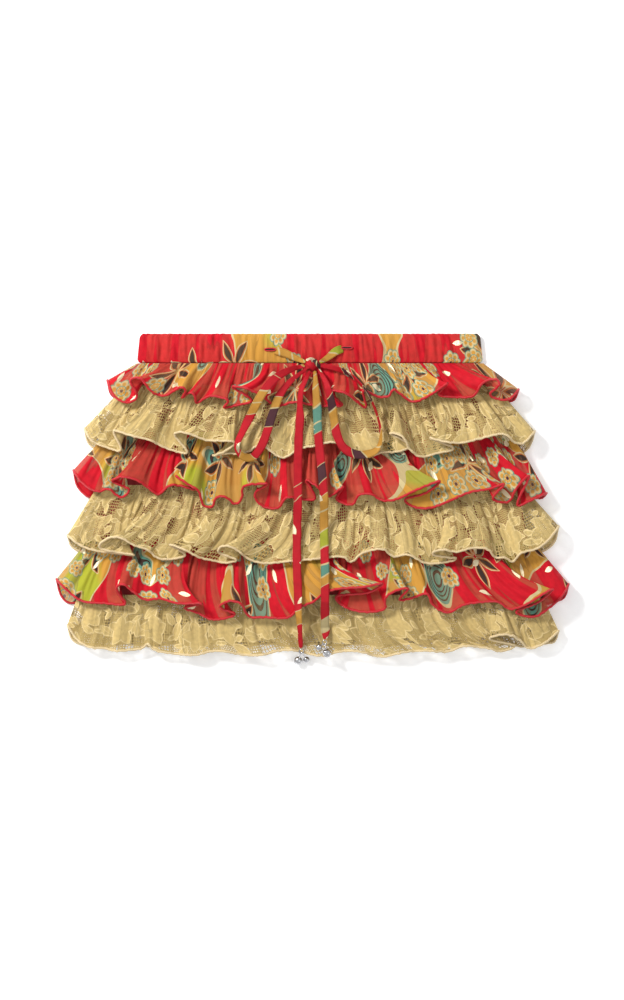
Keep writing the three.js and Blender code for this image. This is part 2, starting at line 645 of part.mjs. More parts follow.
Object.entries(CHARMS).forEach(([name, { level, balls, ring }]) => {
  const head = new THREE.Vector3(ring[0], -ring[1], ringLevel(ring));
  let solid = ball(head, ring[2]);
  balls.forEach(([x, down, radius]) => {
    const rest = level === 'floor' ? radius + 0.2 : topNear(x, down, radius / 2) + GAP + radius;
    const centre = new THREE.Vector3(x, -down, rest);
    solid = solid.add(ball(centre, radius)).add(link(head, centre));
  });
  addPiece(name, fromSolid(solid), METAL);
});

// Stand the skirt on its surface, centred; the tie and charms don't move its middle
const box = new THREE.Box3();
skirt.children.filter((piece) => !/^(tie_|charm_)/.test(piece.name)).forEach((piece) => {
  piece.updateMatrixWorld();
  box.expandByObject(piece, true);
});
const middle = box.getCenter(new THREE.Vector3());
skirt.position.set(-middle.x, -middle.y, -box.min.z);
skirt.updateMatrixWorld(true);

export default skirt;
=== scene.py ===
"""Ruffled mini skirt laid flat, seen from straight above.

Shapes are worked out in the cloth's own millimetres: x to the right, "down" from the top
edge of the waistband, and z up from the surface. place() turns them into the frame's metres.
"""
import math

import bpy
import numpy as np
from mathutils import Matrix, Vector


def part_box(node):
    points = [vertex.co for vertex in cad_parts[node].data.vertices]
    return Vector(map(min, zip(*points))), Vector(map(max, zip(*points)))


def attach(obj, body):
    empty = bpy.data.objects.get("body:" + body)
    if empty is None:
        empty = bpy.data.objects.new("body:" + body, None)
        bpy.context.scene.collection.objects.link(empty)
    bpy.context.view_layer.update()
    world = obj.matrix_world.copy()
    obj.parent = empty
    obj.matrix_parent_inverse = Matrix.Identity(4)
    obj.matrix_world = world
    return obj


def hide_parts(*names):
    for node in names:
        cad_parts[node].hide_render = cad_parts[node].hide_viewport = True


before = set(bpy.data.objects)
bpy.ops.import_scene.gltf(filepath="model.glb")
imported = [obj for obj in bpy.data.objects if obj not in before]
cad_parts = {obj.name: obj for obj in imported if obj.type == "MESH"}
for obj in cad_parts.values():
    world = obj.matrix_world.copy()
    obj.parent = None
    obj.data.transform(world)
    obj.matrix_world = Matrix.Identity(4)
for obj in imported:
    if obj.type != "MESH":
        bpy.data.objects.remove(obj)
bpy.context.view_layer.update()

MM = 0.001
BAND_LOW, BAND_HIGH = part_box("waistband_front")
MIDDLE_X = (BAND_LOW[0] + BAND_HIGH[0]) / 2
TOP_Y = BAND_HIGH[1]
FULL_TURN = 2 * math.pi

# First random seed of each family of pieces
SEEDS = {"front": 11, "back": 31, "hem": 51, "band": 71, "knot": 20}


def place(points):
    """Cloth millimetres (x, down, z) to metres in the frame."""
    x, down, z = np.moveaxis(np.asarray(points, float), -1, 0)
    return np.stack([MIDDLE_X + x * MM, TOP_Y - down * MM, z * MM], axis=-1)


def spread(*parts):
    """One grid of points or flat coordinates from parts that fill in for each other."""
    return np.stack(np.broadcast_arrays(*parts), axis=-1)


# Camera, lights and floor
PHOTO_WIDTH, PHOTO_HEIGHT = 624, 1000
WAIST_TOP_PX = 333
MIDDLE_PX = 312.5
CAMERA_DISTANCE = 5.0
MID_CLOTH_Z = 0.018
SENSOR = 36.0
WORLD_LIGHT = 0.66

# Lights: place, size and power
LIGHTS = {"key": ((-1.35, 1.15, 1.55), 0.6, 62), "fill": ((1.4, -0.5, 1.9), 1.6, 6)}


def add_object(name, data):
    thing = bpy.data.objects.new(name, data)
    bpy.context.scene.collection.objects.link(thing)
    return thing


def add_camera():
    """Straight down on the middle of the photograph, one photo pixel to a millimetre."""
    data = bpy.data.cameras.new("camera")
    data.sensor_fit = "VERTICAL"
    data.sensor_height = SENSOR
    data.lens = SENSOR * CAMERA_DISTANCE / (PHOTO_HEIGHT * MM)
    camera = add_object("camera", data)
    camera.location = (
        (PHOTO_WIDTH / 2 - MIDDLE_PX) * MM,
        TOP_Y - (PHOTO_HEIGHT / 2 - WAIST_TOP_PX) * MM,
        CAMERA_DISTANCE + MID_CLOTH_Z,
    )
    bpy.context.scene.camera = camera


def add_light():
    """Two round lamps that aim at the frame's origin, in an even pale room."""
    for name, (location, size, power) in LIGHTS.items():
        data = bpy.data.lights.new(name, "AREA")
        data.shape = "DISK"
        data.size = size
        data.energy = power
        x, y, z = location
        light = add_object(name, data)
        light.location = location
        light.rotation_euler = (math.atan2(math.hypot(x, y), z), 0, math.atan2(x, -y))
    world = bpy.data.worlds.new("studio")
    world.use_nodes = True
    background = world.node_tree.nodes["Background"]
    background.inputs["Color"].default_value = (1, 1, 1, 1)
    background.inputs["Strength"].default_value = WORLD_LIGHT
    bpy.context.scene.world = world
    bpy.context.scene.view_settings.view_transform = "Standard"


# Tables of the cut and its folds, as in the part's source
WALL = 1.0
GAP = 0.3
HEM_WALL = 1.4
BAND_TOP_WIDTH = 341
BAND_LOW_WIDTH = 347
BAND_HEIGHT = 29.4
BAND_THICK = 3.6
CORE_AT_WAIST = 3.8
CORE_IN_SKIRT = 10
SEAM_OVERHANG = 4.2
BACK_WAVES = 10
BACK_LIFT = 4.2
LENGTH_SHARE = 0.65
SEAM_LIFT = WALL / 2 + GAP + WALL + GAP / 2 + 0.15

# Base: down, half width
BASE_SHAPE = np.array([
    [29.7, 169.5], [52, 180.5], [99, 198.5], [152, 208], [207, 218], [262, 228], [264, 228.4],
])

# Tiers: seam down, hem rise, share of the depth where it starts, depth of the back's hem
TIERS = [
    [30, 7.2, 0.2, 70], [52, 7.2, 0.35, 119], [99, 7.2, 0.35, 164],
    [152, 7.2, 0.35, 219], [207, 7.2, 0.35, 272], [262, -3.5, 0.35, 314],
]

# Turns of each front hem: x, down, lift above the hem's low line
HEMS = [[
    [-203, 47, 2], [-195, 64, 2], [-182, 70, 2], [-172, 64, 5], [-180, 47, 14], [-170, 45, 17],
    [-157, 60, 8], [-144, 63, 4], [-129, 54, 14], [-123, 58, 12], [-129, 66, 4], [-119, 59, 10],
    [-115, 61, 10], [-114, 71, 2], [-101, 63, 8], [-81, 68, 6], [-87, 75, 1], [-73, 72, 0],
    [-57, 68, 4], [-78, 54, 12], [-66, 55, 17], [-48, 63, 10], [-34, 73, 2], [-16, 69, 5],
    [2, 72, 2], [33, 72, 0], [17, 58, 11], [35, 60, 15], [56, 75, 2], [53, 57, 13], [67, 64, 10],
    [80, 63, 8], [83, 56, 11], [102, 69, 3], [122, 61, 8], [138, 50, 16], [128, 62, 5],
    [145, 64, 2], [164, 63, 4], [171, 51, 13], [184, 46, 16], [190, 51, 14], [179, 62, 5],
    [198, 67, 1], [209, 56, 2],
], [
    [-226, 95, 2], [-218, 108, 2], [-204, 114, 1], [-188, 118, 4], [-196, 98, 12], [-178, 103, 15],
    [-160, 107, 12], [-144, 115, 3], [-122, 120, 4], [-136, 100, 13], [-120, 101, 17],
    [-105, 107, 11], [-88, 108, 12], [-74, 109, 10], [-84, 118, 3], [-98, 123, 0], [-82, 120, 0],
    [-66, 121, 1], [-50, 112, 6], [-27, 125, 1], [-10, 115, 5], [5, 113, 6], [20, 109, 8],
    [31, 111, 7], [42, 120, 2], [58, 124, 1], [72, 119, 4], [86, 119, 0], [101, 113, 4],
    [79, 100, 12], [92, 103, 16], [100, 117, 9], [111, 124, 3], [127, 120, 0], [144, 116, 4],
    [119, 105, 12], [135, 109, 17], [151, 110, 14], [172, 105, 13], [194, 101, 14], [202, 108, 9],
    [212, 111, 3], [225, 98, 2],
], [
    [-237, 137, 2], [-226, 151, 2], [-211, 159, 2], [-202, 155, 4], [-189, 165, 0], [-180, 157, 4],
    [-198, 148, 12], [-190, 144, 16], [-175, 146, 13], [-161, 155, 6], [-152, 162, 2],
    [-140, 152, 6], [-128, 153, 3], [-114, 157, 4], [-134, 143, 12], [-122, 151, 15],
    [-110, 159, 10], [-107, 173, 2], [-97, 174, 2], [-94, 164, 7], [-83, 164, 6], [-75, 172, 1],
    [-67, 164, 6], [-68, 154, 12], [-54, 151, 14], [-42, 151, 12], [-56, 161, 5], [-48, 173, 0],
    [-31, 175, 0], [-24, 164, 7], [-10, 166, 2], [6, 166, 3], [-4, 147, 12], [8, 154, 14],
    [18, 164, 6], [34, 153, 14], [26, 166, 2], [43, 172, 1], [48, 162, 7], [62, 161, 7],
    [70, 167, 3], [84, 167, 7], [106, 157, 13], [130, 148, 16], [116, 160, 8], [94, 167, 4],
    [104, 174, 0], [120, 175, 0], [139, 168, 4], [160, 159, 7], [179, 156, 9], [194, 151, 13],
    [182, 166, 5], [199, 169, 0], [206, 155, 9], [219, 142, 14], [207, 173, 0], [221, 167, 2],
    [237, 160, 2],
], [
    [-243, 202, 2], [-230, 212, 2], [-217, 217, 2], [-196, 220, 0], [-175, 222, 4], [-211, 214, 10],
    [-204, 206, 15], [-190, 204, 17], [-176, 212, 12], [-161, 217, 7], [-153, 225, 2],
    [-138, 226, 1], [-124, 222, 4], [-141, 211, 12], [-126, 216, 15], [-109, 225, 7], [-98, 227, 1],
    [-84, 230, 0], [-73, 227, 4], [-93, 218, 10], [-84, 212, 16], [-71, 218, 12], [-63, 225, 5],
    [-48, 230, 2], [-20, 228, 3], [4, 226, 4], [35, 224, 4], [40, 230, 1], [52, 220, 7],
    [74, 216, 9], [83, 224, 3], [97, 221, 6], [115, 230, 1], [130, 230, 0], [146, 226, 4],
    [121, 221, 10], [131, 216, 16], [146, 219, 13], [160, 215, 11], [178, 216, 9], [185, 225, 3],
    [196, 224, 4], [202, 230, 1], [210, 220, 6], [226, 216, 5], [238, 207, 4], [249, 193, 2],
], [
    [-254, 246, 2], [-242, 258, 2], [-228, 268, 2], [-205, 270, 1], [-184, 271, 3], [-194, 255, 12],
    [-187, 250, 16], [-176, 259, 10], [-164, 267, 5], [-150, 265, 6], [-133, 270, 12],
    [-107, 270, 13], [-126, 275, 5], [-111, 280, 2], [-101, 286, 0], [-88, 286, 0], [-74, 281, 4],
    [-91, 274, 10], [-79, 267, 16], [-68, 271, 13], [-61, 284, 3], [-48, 284, 3], [-20, 284, 3],
    [-11, 274, 8], [3, 269, 8], [15, 259, 13], [32, 255, 14], [52, 254, 15], [73, 250, 17],
    [60, 259, 9], [25, 264, 4], [35, 274, 0], [56, 279, 0], [76, 275, 3], [74, 266, 8],
    [86, 257, 13], [99, 255, 16], [88, 267, 3], [102, 265, 5], [117, 260, 10], [122, 271, 4],
    [138, 280, 1], [152, 272, 5], [170, 269, 6], [190, 269, 6], [198, 276, 4], [214, 272, 11],
    [235, 259, 16], [243, 255, 16], [228, 269, 8], [205, 279, 4], [224, 284, 0], [236, 277, 2],
    [251, 264, 2], [259, 251, 2],
], [
    [-243, 292, 2], [-232, 308, 2], [-218, 315, 6], [-206, 315, 3], [-196, 318, 7], [-180, 317, 4],
    [-166, 315, 3], [-163, 309, 6], [-158, 316, 7], [-134, 321, 3], [-114, 322, 8], [-97, 318, 3],
    [-82, 319, 7], [-68, 322, 2], [-48, 322, 8], [-32, 318, 3], [-19, 317, 7], [-9, 319, 1],
    [12, 323, 7], [28, 319, 2], [46, 318, 8], [72, 324, 2], [90, 320, 8], [106, 318, 3],
    [122, 318, 8], [138, 319, 3], [153, 313, 8], [168, 314, 3], [182, 316, 5], [189, 319, 0],
    [206, 313, 3], [179, 306, 9], [192, 301, 15], [208, 305, 11], [215, 313, 4], [219, 316, 3],
    [235, 310, 6], [249, 298, 2],
]]

# Flat tie, in metres: x from the middle, depth below the waist's top edge, width, then
# the turn of the section in degrees
TIE_THICK = 1.2
TIES = {
    "tie_exit_left": [
        [-0.036, 0.017, 0.008, 0], [-0.026, 0.0195, 0.008, 0], [-0.014, 0.025, 0.006, 0],
        [-0.0044, 0.0292, 0.0032, 0],
    ],
    "tie_exit_right": [
        [0.033, 0.015, 0.008, 0], [0.026, 0.018, 0.008, 0], [0.017, 0.025, 0.006, 0],
        [0.0094, 0.0292, 0.0032, 0],
    ],
    "tie_loop_left": [
        [-0.0051, 0.0326, 0.0032, 0], [-0.018, 0.036, 0.006, 0], [-0.034, 0.045, 0.0085, 0],
        [-0.047, 0.060, 0.0085, 0], [-0.058, 0.080, 0.0085, 0], [-0.067, 0.098, 0.008, 20],
        [-0.073, 0.114, 0.007, 40], [-0.066, 0.124, 0.008, 20], [-0.057, 0.124, 0.008, 10],
        [-0.049, 0.114, 0.0085, 0], [-0.043, 0.099, 0.0085, 0], [-0.037, 0.080, 0.0085, 0],
        [-0.030, 0.062, 0.008, 0], [-0.019, 0.048, 0.0055, 0], [-0.0033, 0.0356, 0.003, 0],
    ],
    "tie_loop_right": [
        [0.0101, 0.0326, 0.0032, 0], [0.024, 0.035, 0.006, 30], [0.040, 0.042, 0.007, 60],
        [0.054, 0.056, 0.007, 75], [0.064, 0.074, 0.007, 75], [0.070, 0.094, 0.007, 75],
        [0.070, 0.110, 0.007, 60], [0.058, 0.121, 0.008, 10], [0.044, 0.121, 0.0085, 0],
        [0.033, 0.114, 0.0085, 0], [0.027, 0.102, 0.0085, 0], [0.024, 0.086, 0.0085, 0],
        [0.021, 0.068, 0.008, 0], [0.016, 0.050, 0.0055, 0], [0.0084, 0.0356, 0.003, 0],
    ],
    "tie_end_left": [
        [0.0002, 0.0375, 0.003, 0], [-0.005, 0.048, 0.005, 10], [-0.009, 0.058, 0.0065, 35],
        [-0.010, 0.068, 0.007, 40], [-0.010, 0.086, 0.0085, 10], [-0.011, 0.100, 0.0085, 0],
        [-0.012, 0.130, 0.0085, 0], [-0.012, 0.165, 0.0085, 0], [-0.013, 0.200, 0.0085, 0],
        [-0.013, 0.235, 0.0085, 0], [-0.012, 0.258, 0.0085, 0], [-0.012, 0.272, 0.008, 20],
        [-0.011, 0.286, 0.0075, 40], [-0.010, 0.299, 0.007, 50], [-0.0095, 0.308, 0.0055, 30],
        [-0.009, 0.3155, 0.003, 0],
    ],
    "tie_end_right": [
        [0.0048, 0.0375, 0.003, 0], [0.0055, 0.047, 0.005, 0], [0.006, 0.058, 0.007, 0],
        [0.007, 0.072, 0.0085, 0], [0.008, 0.100, 0.0085, 0], [0.011, 0.130, 0.0085, 0],
        [0.014, 0.165, 0.0085, 0], [0.014, 0.200, 0.0085, 0], [0.015, 0.235, 0.0085, 0],
        [0.015, 0.265, 0.0085, 0], [0.015, 0.290, 0.0085, 0], [0.0155, 0.299, 0.008, 0],
        [0.0151, 0.3065, 0.0035, 0],
    ],
}
TIE_WIDTH = 8.5
KNOT = {"x": 2.5, "down": 31.5, "width": 14, "thick": 7.5}
KNOT_REACH = 8

# Bells and the ring they hang from: x, down, radius
CHARMS = {
    "charm_left": {"level": "floor", "balls": [[-12, 328, 4.6], [-3.6, 327, 3.4]],
                   "ring": [-8.6, 318.6, 2.6]},
    "charm_right": {"level": "cloth", "balls": [[17, 320, 4.6], [9, 314, 3.2]],
                    "ring": [14.6, 309.6, 2.6]},
}


# Curves and cloth levels
def smooth(start, end, value):
    t = np.clip((np.asarray(value, float) - start) / (end - start), 0, 1)
    return t * t * (3 - 2 * t)


def core_level(down):
    """Middle level between front and back, from the waistband to the second seam."""
    return np.interp(down, (TIERS[0][0], TIERS[1][0]), (CORE_AT_WAIST, CORE_IN_SKIRT))


def lengths_along(points):
    steps = np.linalg.norm(np.diff(points, axis=0), axis=1)
    return np.concatenate([[0], np.cumsum(steps)])


def rounded_line(rows, step):
    """Rounded line through rows of numbers, about one point every step in plan."""
    rows = np.asarray(rows, float)
    padded = np.vstack([2 * rows[0] - rows[1], rows, 2 * rows[-1] - rows[-2]])
    points = []
    for i in range(len(rows) - 1):
        before, start, end, after = padded[i:i + 4]
        first, mid, last = np.sqrt(np.linalg.norm(np.diff(padded[i:i + 4], axis=0), axis=1))
        leave = ((start - before) / first - (end - before) / (first + mid)
                 + (end - start) / mid) * mid
        arrive = ((end - start) / mid - (after - start) / (mid + last)
                  + (after - end) / last) * mid
        parts = max(1, round(math.dist(start[:2], end[:2]) / step))
        for t in np.arange(parts) / parts:
            points.append(
                start * (2 * t ** 3 - 3 * t ** 2 + 1) + end * (3 * t ** 2 - 2 * t ** 3)
                + leave * (t ** 3 - 2 * t ** 2 + t) + arrive * (t ** 3 - t ** 2)
            )
    points.append(rows[-1])
    return np.array(points)


def soften(points, reach):
    """Rounds the turns of an evenly spaced line, with both ends kept."""
    step = lengths_along(points)[-1] / (len(points) - 1)
    span = math.ceil(3 * reach / step)
    weight = np.exp(-((np.arange(-span, span + 1) * step / reach) ** 2))
    weight /= weight.sum()
    before = 2 * points[0] - points[span:0:-1]
    after = 2 * points[-1] - points[-2:-span - 2:-1]
    padded = np.vstack([before, points, after])
    return np.stack([np.convolve(column, weight, "valid") for column in padded.T], axis=1)


# Ruffles: how the hem's turns are evened out up to the seam, and how round the sides are
EVEN_REACH = 34
HEM_POWER = 3.2
SIDE_ROUND = 3.2
SIDE_ROUND_GROWS = 9
HEM_DROP = 12.0


def seam_shares(points, along):
    """Share of the seam's width at each column, from its length and its evened-out x."""
    total = along[-1]
    mid = (along[1:] + along[:-1]) / 2
    x = (points[1:, 0] + points[:-1, 0]) / 2
    where = np.concatenate([mid, -mid, 2 * total - mid])
    value = np.concatenate([x, 2 * points[0, 0] - x, 2 * points[-1, 0] - x])
    weight = np.exp(-(((where[None, :] - along[:, None]) / EVEN_REACH) ** 2))
    weight *= np.tile(np.diff(along), 3)
    evened_x = (weight @ value) / weight.sum(axis=1)
    even_share = (evened_x - evened_x[0]) / (evened_x[-1] - evened_x[0])
    return LENGTH_SHARE * along / total + (1 - LENGTH_SHARE) * even_share


def ruffle_grid(shares, points, seam_down, level, seed, folds):
    """Points (row, column, xyz) of a ruffle, and the flat cloth's metres at each."""
    along = lengths_along(points)
    seam = seam_shares(points, along)
    half = np.interp(seam_down, BASE_SHAPE[:, 0], BASE_SHAPE[:, 1]) + SEAM_OVERHANG
    left, right = points[0, 0], points[-1, 0]
    v = shares[:, None]
    seam_x = -half + 2 * half * seam
    fan_x = left + (right - left) * seam
    x = seam_x + (fan_x - seam_x) * v + (points[:, 0] - fan_x) * v ** HEM_POWER
    down = seam_down + (points[:, 1] - seam_down) * v
    to_side = np.minimum(along, along[-1] - along)
    inside = np.clip(to_side / (SIDE_ROUND + SIDE_ROUND_GROWS * v), 0, 1)
    edge = core_level(down)
    z = edge + (level(v, down, points[:, 2]) - edge) * np.sqrt(1 - (1 - inside) ** 2)
    grid = spread(x, down, z)
    across = lengths_along(grid[-1])
    middle = len(along) // 2
    across += along[middle] - across[middle]
    depth = math.hypot(np.median(points[:, 1]) - seam_down, HEM_DROP) * v
    return add_fine_folds(grid, along, v, seed, folds), spread(across * MM, -depth * MM)


# Fine folds that the solids leave out: wavelengths along the cloth and heights
GATHERS = [[4.9, 0.5], [7.7, 0.6], [11.7, 0.5]]
PLEATS = [[12.0, 1.1], [19.0, 1.5], [7.9, 0.5]]
HEM_RIPPLE = [[7.5, 0.22], [11.0, 0.2]]
HEM_JITTER = [[4.7, 0.26], [7.9, 0.3]]
SIDE_CALM = 8


def waves(table, along, random, bend=0, sharp=False):
    """Sum of waves along the cloth, each with its own phase, drift and beat.

    Sharp waves are round on top and narrow in their valleys, as pleats are.
    """
    height = 0
    for length, size in table:
        phase, drift, beat = random.uniform(0, 1, 3)
        swell = 0.6 + 0.4 * np.sin(2 * np.pi * (along / (length * 5.3) + beat))
        turn = along / length + phase + (drift - 0.5) * bend
        if sharp:
            wave = 1.7 * np.sqrt(np.sin(np.pi * turn) ** 2 + 0.012) - 1.1
        else:
            wave = np.sin(2 * np.pi * turn)
        height = height + size * swell * wave
    return height


def add_fine_folds(grid, along, v, seed, folds):
    """Gathers that fade below the seam, soft creases, and a rippled hem."""
    random = np.random.default_rng(seed)
    height = waves(GATHERS, along, random, 0.3 * v, True) * (1 - smooth(0.0, 0.8, v))
    pleats = waves(PLEATS, along, random, 0.9 * v, True)
    height = height + pleats * smooth(0.0, 0.3, v) * (1 - 0.55 * smooth(0.7, 1.0, v))
    height = height + waves(HEM_RIPPLE, along, random, 0.5 * v) * smooth(0.75, 1.0, v)
    jitter = waves(HEM_JITTER, along, random) * smooth(0.86, 1.0, v)
    normal = np.cross(np.gradient(grid, axis=1), np.gradient(grid, axis=0))
    normal /= np.maximum(np.linalg.norm(normal, axis=-1, keepdims=True), 1e-9)
    calm = smooth(0, SIDE_CALM, np.minimum(along, along[-1] - along))
    grid = grid + normal * (folds * height * calm)[..., None]
    grid[..., 1] += jitter * calm
    return grid


FINE_STEP = 1.6
TURN_REACH = 4.8
FRONT_SHARES = np.linspace(0, 1, 34)
BACK_SHARES = np.linspace(0, 1, 18)
BACK_FOLDS = 0.5
HEM_RADIUS = {"chiffon": 1.25, "lace": 1.2}


def front_tier(tier):
    seam_down, rise, rise_from, _ = TIERS[tier]
    points = soften(rounded_line(HEMS[tier], FINE_STEP), TURN_REACH)

    def level(v, down, lift):
        return (core_level(down) + SEAM_LIFT + rise * smooth(rise_from, 0.95, v)
                + lift * np.clip((v - 0.08) / 0.92, 0, 1))

    return ruffle_grid(FRONT_SHARES, points, seam_down, level, SEEDS["front"] + tier, 1)


def back_tier(tier):
    """The back hem is an even run of low waves, from the front's side corners."""
    seam_down, _, _, hem_down = TIERS[tier]
    left_x, left_down, _ = HEMS[tier][0]
    right_x, right_down, _ = HEMS[tier][-1]
    rows = [[left_x, left_down, 0], [left_x + 4, (left_down + hem_down) / 2 + 3, 0]]
    start, end = left_x + 14, right_x - 14
    steps = BACK_WAVES * 4
    for i in range(steps + 1):
        t = 2 * math.pi * i / 4 + tier * 0.9
        x = start + (end - start) * i / steps + 3.2 * math.sin(t + 0.8)
        rows.append([x, hem_down - 1.5 + 1.5 * math.sin(t), max(0, math.sin(t)) ** 1.2])
    rows += [[right_x - 4, (right_down + hem_down) / 2 + 3, 0], [right_x, right_down, 0]]

    def level(v, down, lift):
        seam = core_level(down) - SEAM_LIFT
        fall = (seam - WALL / 2) * smooth(0.2, 0.9, v)
        wave = (0.7 if tier == 0 else 1) * BACK_LIFT * np.clip(lift, 0, 1) * v ** 1.5
        return np.maximum(WALL / 2, seam - fall + wave)

    points = rounded_line(rows, 2 * FINE_STEP)
    seed = SEEDS["back"] + tier
    grid, flat = ruffle_grid(BACK_SHARES, points, seam_down, level, seed, BACK_FOLDS)
    hem_room = HEM_RADIUS["chiffon"] * smooth(0.8, 1.0, BACK_SHARES)[:, None] + 0.15
    grid[..., 2] = np.maximum(grid[..., 2], hem_room)
    return grid, flat


# Meshes
def mesh_piece(name, grid, material, flat=None, closed=False):
    """A smooth mesh from a grid of points in the frame, with the flat cloth as its UV map.

    A closed grid joins its last column to its first.
    """
    rows, columns = grid.shape[:2]
    r = np.arange(rows - 1)[:, None] * columns
    c = np.arange(columns if closed else columns - 1)
    after = (c + 1) % columns
    faces = spread(r + c, r + columns + c, r + columns + after, r + after).reshape(-1, 4)
    mesh = bpy.data.meshes.new(name)
    mesh.from_pydata(grid.reshape(-1, 3).tolist(), [], faces.tolist(), shade_flat=False)
    mesh.validate()
    if flat is not None:
        layer = mesh.uv_layers.new(name="flat")
        corner = np.empty(len(mesh.loops), np.int32)
        mesh.loops.foreach_get("vertex_index", corner)
        layer.data.foreach_set("uv", flat.reshape(-1, 2)[corner].astype(np.float32).ravel())
    mesh.materials.append(material)
    piece = add_object(name, mesh)
    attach(piece, "root")
    return piece


def frames_along(path):
    """Unit vectors ahead, level and up at each point of a path."""
    ahead = np.gradient(path, axis=0)
    ahead /= np.maximum(np.linalg.norm(ahead, axis=1, keepdims=True), 1e-9)
    level = np.stack([-ahead[:, 1], ahead[:, 0], np.zeros(len(path))], axis=1)
    level /= np.maximum(np.linalg.norm(level, axis=1, keepdims=True), 1e-9)
    return ahead, level, np.cross(ahead, level)


def rounded(value, power):
    """A power of the value's size, with the value's own sign."""
    return np.sign(value) * np.abs(value) ** power


def turns(count):
    """Angles once round, without the last that equals the first."""
    return 2 * np.pi * np.arange(count) / count


TUBE_SIDES = 8


def tube_piece(name, path, radius, material):
    """A round tube along a path in the frame's metres, with a flat cap on both ends."""
    radius = np.pad(np.broadcast_to(radius, len(path)), 1, constant_values=1e-5)
    cap = 0.01 * np.array([path[0] - path[1], path[-1] - path[-2]])
    path = np.vstack([path[:1] + cap[:1], path, path[-1:] + cap[1:]])
    _, level, up = frames_along(path)
    turn = turns(TUBE_SIDES)
    ring = (np.cos(turn)[None, :, None] * level[:, None, :]
            + np.sin(turn)[None, :, None] * up[:, None, :])
    points = path[:, None, :] + ring * radius[:, None, None]
    flat = spread(lengths_along(path)[:, None], turn * radius.max())
    return mesh_piece(name, points, material, flat, closed=True)


# Materials
RED = (0.47, 0.0050, 0.014)
OCHRE = (0.50, 0.245, 0.038)
LIME = (0.34, 0.345, 0.026)
TEAL = (0.10, 0.24, 0.175)
DARK = (0.040, 0.022, 0.016)
PLUM = (0.070, 0.020, 0.026)
SPICE = (0.42, 0.12, 0.030)
CREAM = (0.52, 0.42, 0.21)
FOIL = (0.80, 0.70, 0.46)
LACE_SOLID = (0.53, 0.385, 0.145)
LACE_CORD = (0.68, 0.52, 0.24)
LACE_NET = (0.47, 0.335, 0.118)
HEM_CREAM = (0.72, 0.56, 0.31)
HEM_RED = (0.52, 0.005, 0.014)
THIN_TINT = (0.60, 0.38, 0.17)
# The red lining is painted darker than the chiffon's red, as shade of the hollow behind the tiers.
LINING_DARK = (0.13, 0.008, 0.009)
LINING_LIGHT = (0.34, 0.013, 0.015)
# Steel's dark and bright tones are painted reflection on the bells.
STEEL_DARK = (0.20, 0.20, 0.22)
STEEL_LIGHT = (0.86, 0.86, 0.87)


def operator(operation, turned=False):
    """A method that puts one sum between a value and another."""
    def method(self, other=0.0):
        return math_node(operation, *((other, self) if turned else (self, other)))
    return method


class Value:
    """A node's output that is added, multiplied and compared like a number."""

    def __init__(self, socket):
        self.socket = socket
        self.tree = socket.id_data

    __add__ = __radd__ = operator("ADD")
    __sub__ = operator("SUBTRACT")
    __rsub__ = operator("SUBTRACT", turned=True)
    __mul__ = __rmul__ = operator("MULTIPLY")
    __truediv__ = operator("DIVIDE")
    __gt__ = operator("GREATER_THAN")
    __lt__ = operator("LESS_THAN")
    __or__ = operator("MAXIMUM")
    __abs__ = operator("ABSOLUTE")
    sine = operator("SINE")
    cosine = operator("COSINE")
    fraction = operator("FRACT")
    root = operator("SQRT")

    def clamped(self, scale):
        """The value times scale, kept between 0 and 1."""
        return math_node("MULTIPLY", self, scale, use_clamp=True)


def put(socket, value):
    """Links a value to a socket, or sets the socket's own number or colour."""
    if isinstance(value, Value):
        value.tree.links.new(value.socket, socket)
    elif np.ndim(value) and len(value) == 3 and len(socket.default_value) == 4:
        socket.default_value = (*value, 1)
    else:
        socket.default_value = value


def add_node(tree, kind, inputs=None, **settings):
    node = tree.nodes.new("ShaderNode" + kind)
    for key, setting in settings.items():
        setattr(node, key, setting)
    for key, value in (inputs or {}).items():
        put(node.inputs[key], value)
    return node


def outputs(kind, inputs, **settings):
    """The outputs of a new node in the tree that its inputs come from."""
    tree = next(value.tree for value in inputs.values() if isinstance(value, Value))
    return add_node(tree, kind, inputs, **settings).outputs


def math_node(operation, a, b=0.0, **settings):
    return Value(outputs("Math", {0: a, 1: b}, operation=operation, **settings)[0])


def vector_node(operation, a, b=(0, 0, 0)):
    return Value(outputs("VectorMath", {0: a, 1: b}, operation=operation)[0])


def moved(vector, x, y):
    return vector_node("ADD", vector, (x, y, 0))


def scaled(vector, scale):
    return Value(outputs("VectorMath", {0: vector, "Scale": scale}, operation="SCALE")[0])


def mix(factor, a, b):
    return Value(outputs("Mix", {0: factor, 6: a, 7: b}, data_type="RGBA")[2])


def blend(factor, a, b):
    return Value(outputs("Mix", {0: factor, 2: a, 3: b}, data_type="FLOAT")[0])


def noise(vector, size, detail=1.0, dimensions="2D", output=0):
    inputs = {"Vector": vector, "Scale": 1 / size, "Detail": detail}
    return Value(outputs("TexNoise", inputs, noise_dimensions=dimensions)[output])


def voronoi(inputs, dimensions, feature="F1"):
    return outputs("TexVoronoi", inputs, voronoi_dimensions=dimensions, feature=feature)


def split(value, kind="XYZ"):
    return [Value(output) for output in outputs("Separate" + kind, {0: value})]


def cells(vector, size, randomness):
    """Cells of that size: place from the middle, the cell's random numbers, its middle."""
    inputs = {"Vector": scaled(vector, 1 / size), "Scale": 1.0, "Randomness": randomness}
    found = voronoi(inputs, "2D")
    middle = Value(found["Position"])
    away = vector_node("SUBTRACT", inputs["Vector"], middle)
    return scaled(away, size), split(Value(found["Color"]), "Color"), scaled(middle, size)


def polar(local):
    x, y, _ = split(local)
    radius = outputs("VectorMath", {0: local}, operation="LENGTH")["Value"]
    return Value(radius), math_node("ARCTAN2", y, x)


def from_polar(radius, bearing):
    return radius * bearing.cosine(), radius * bearing.sine()


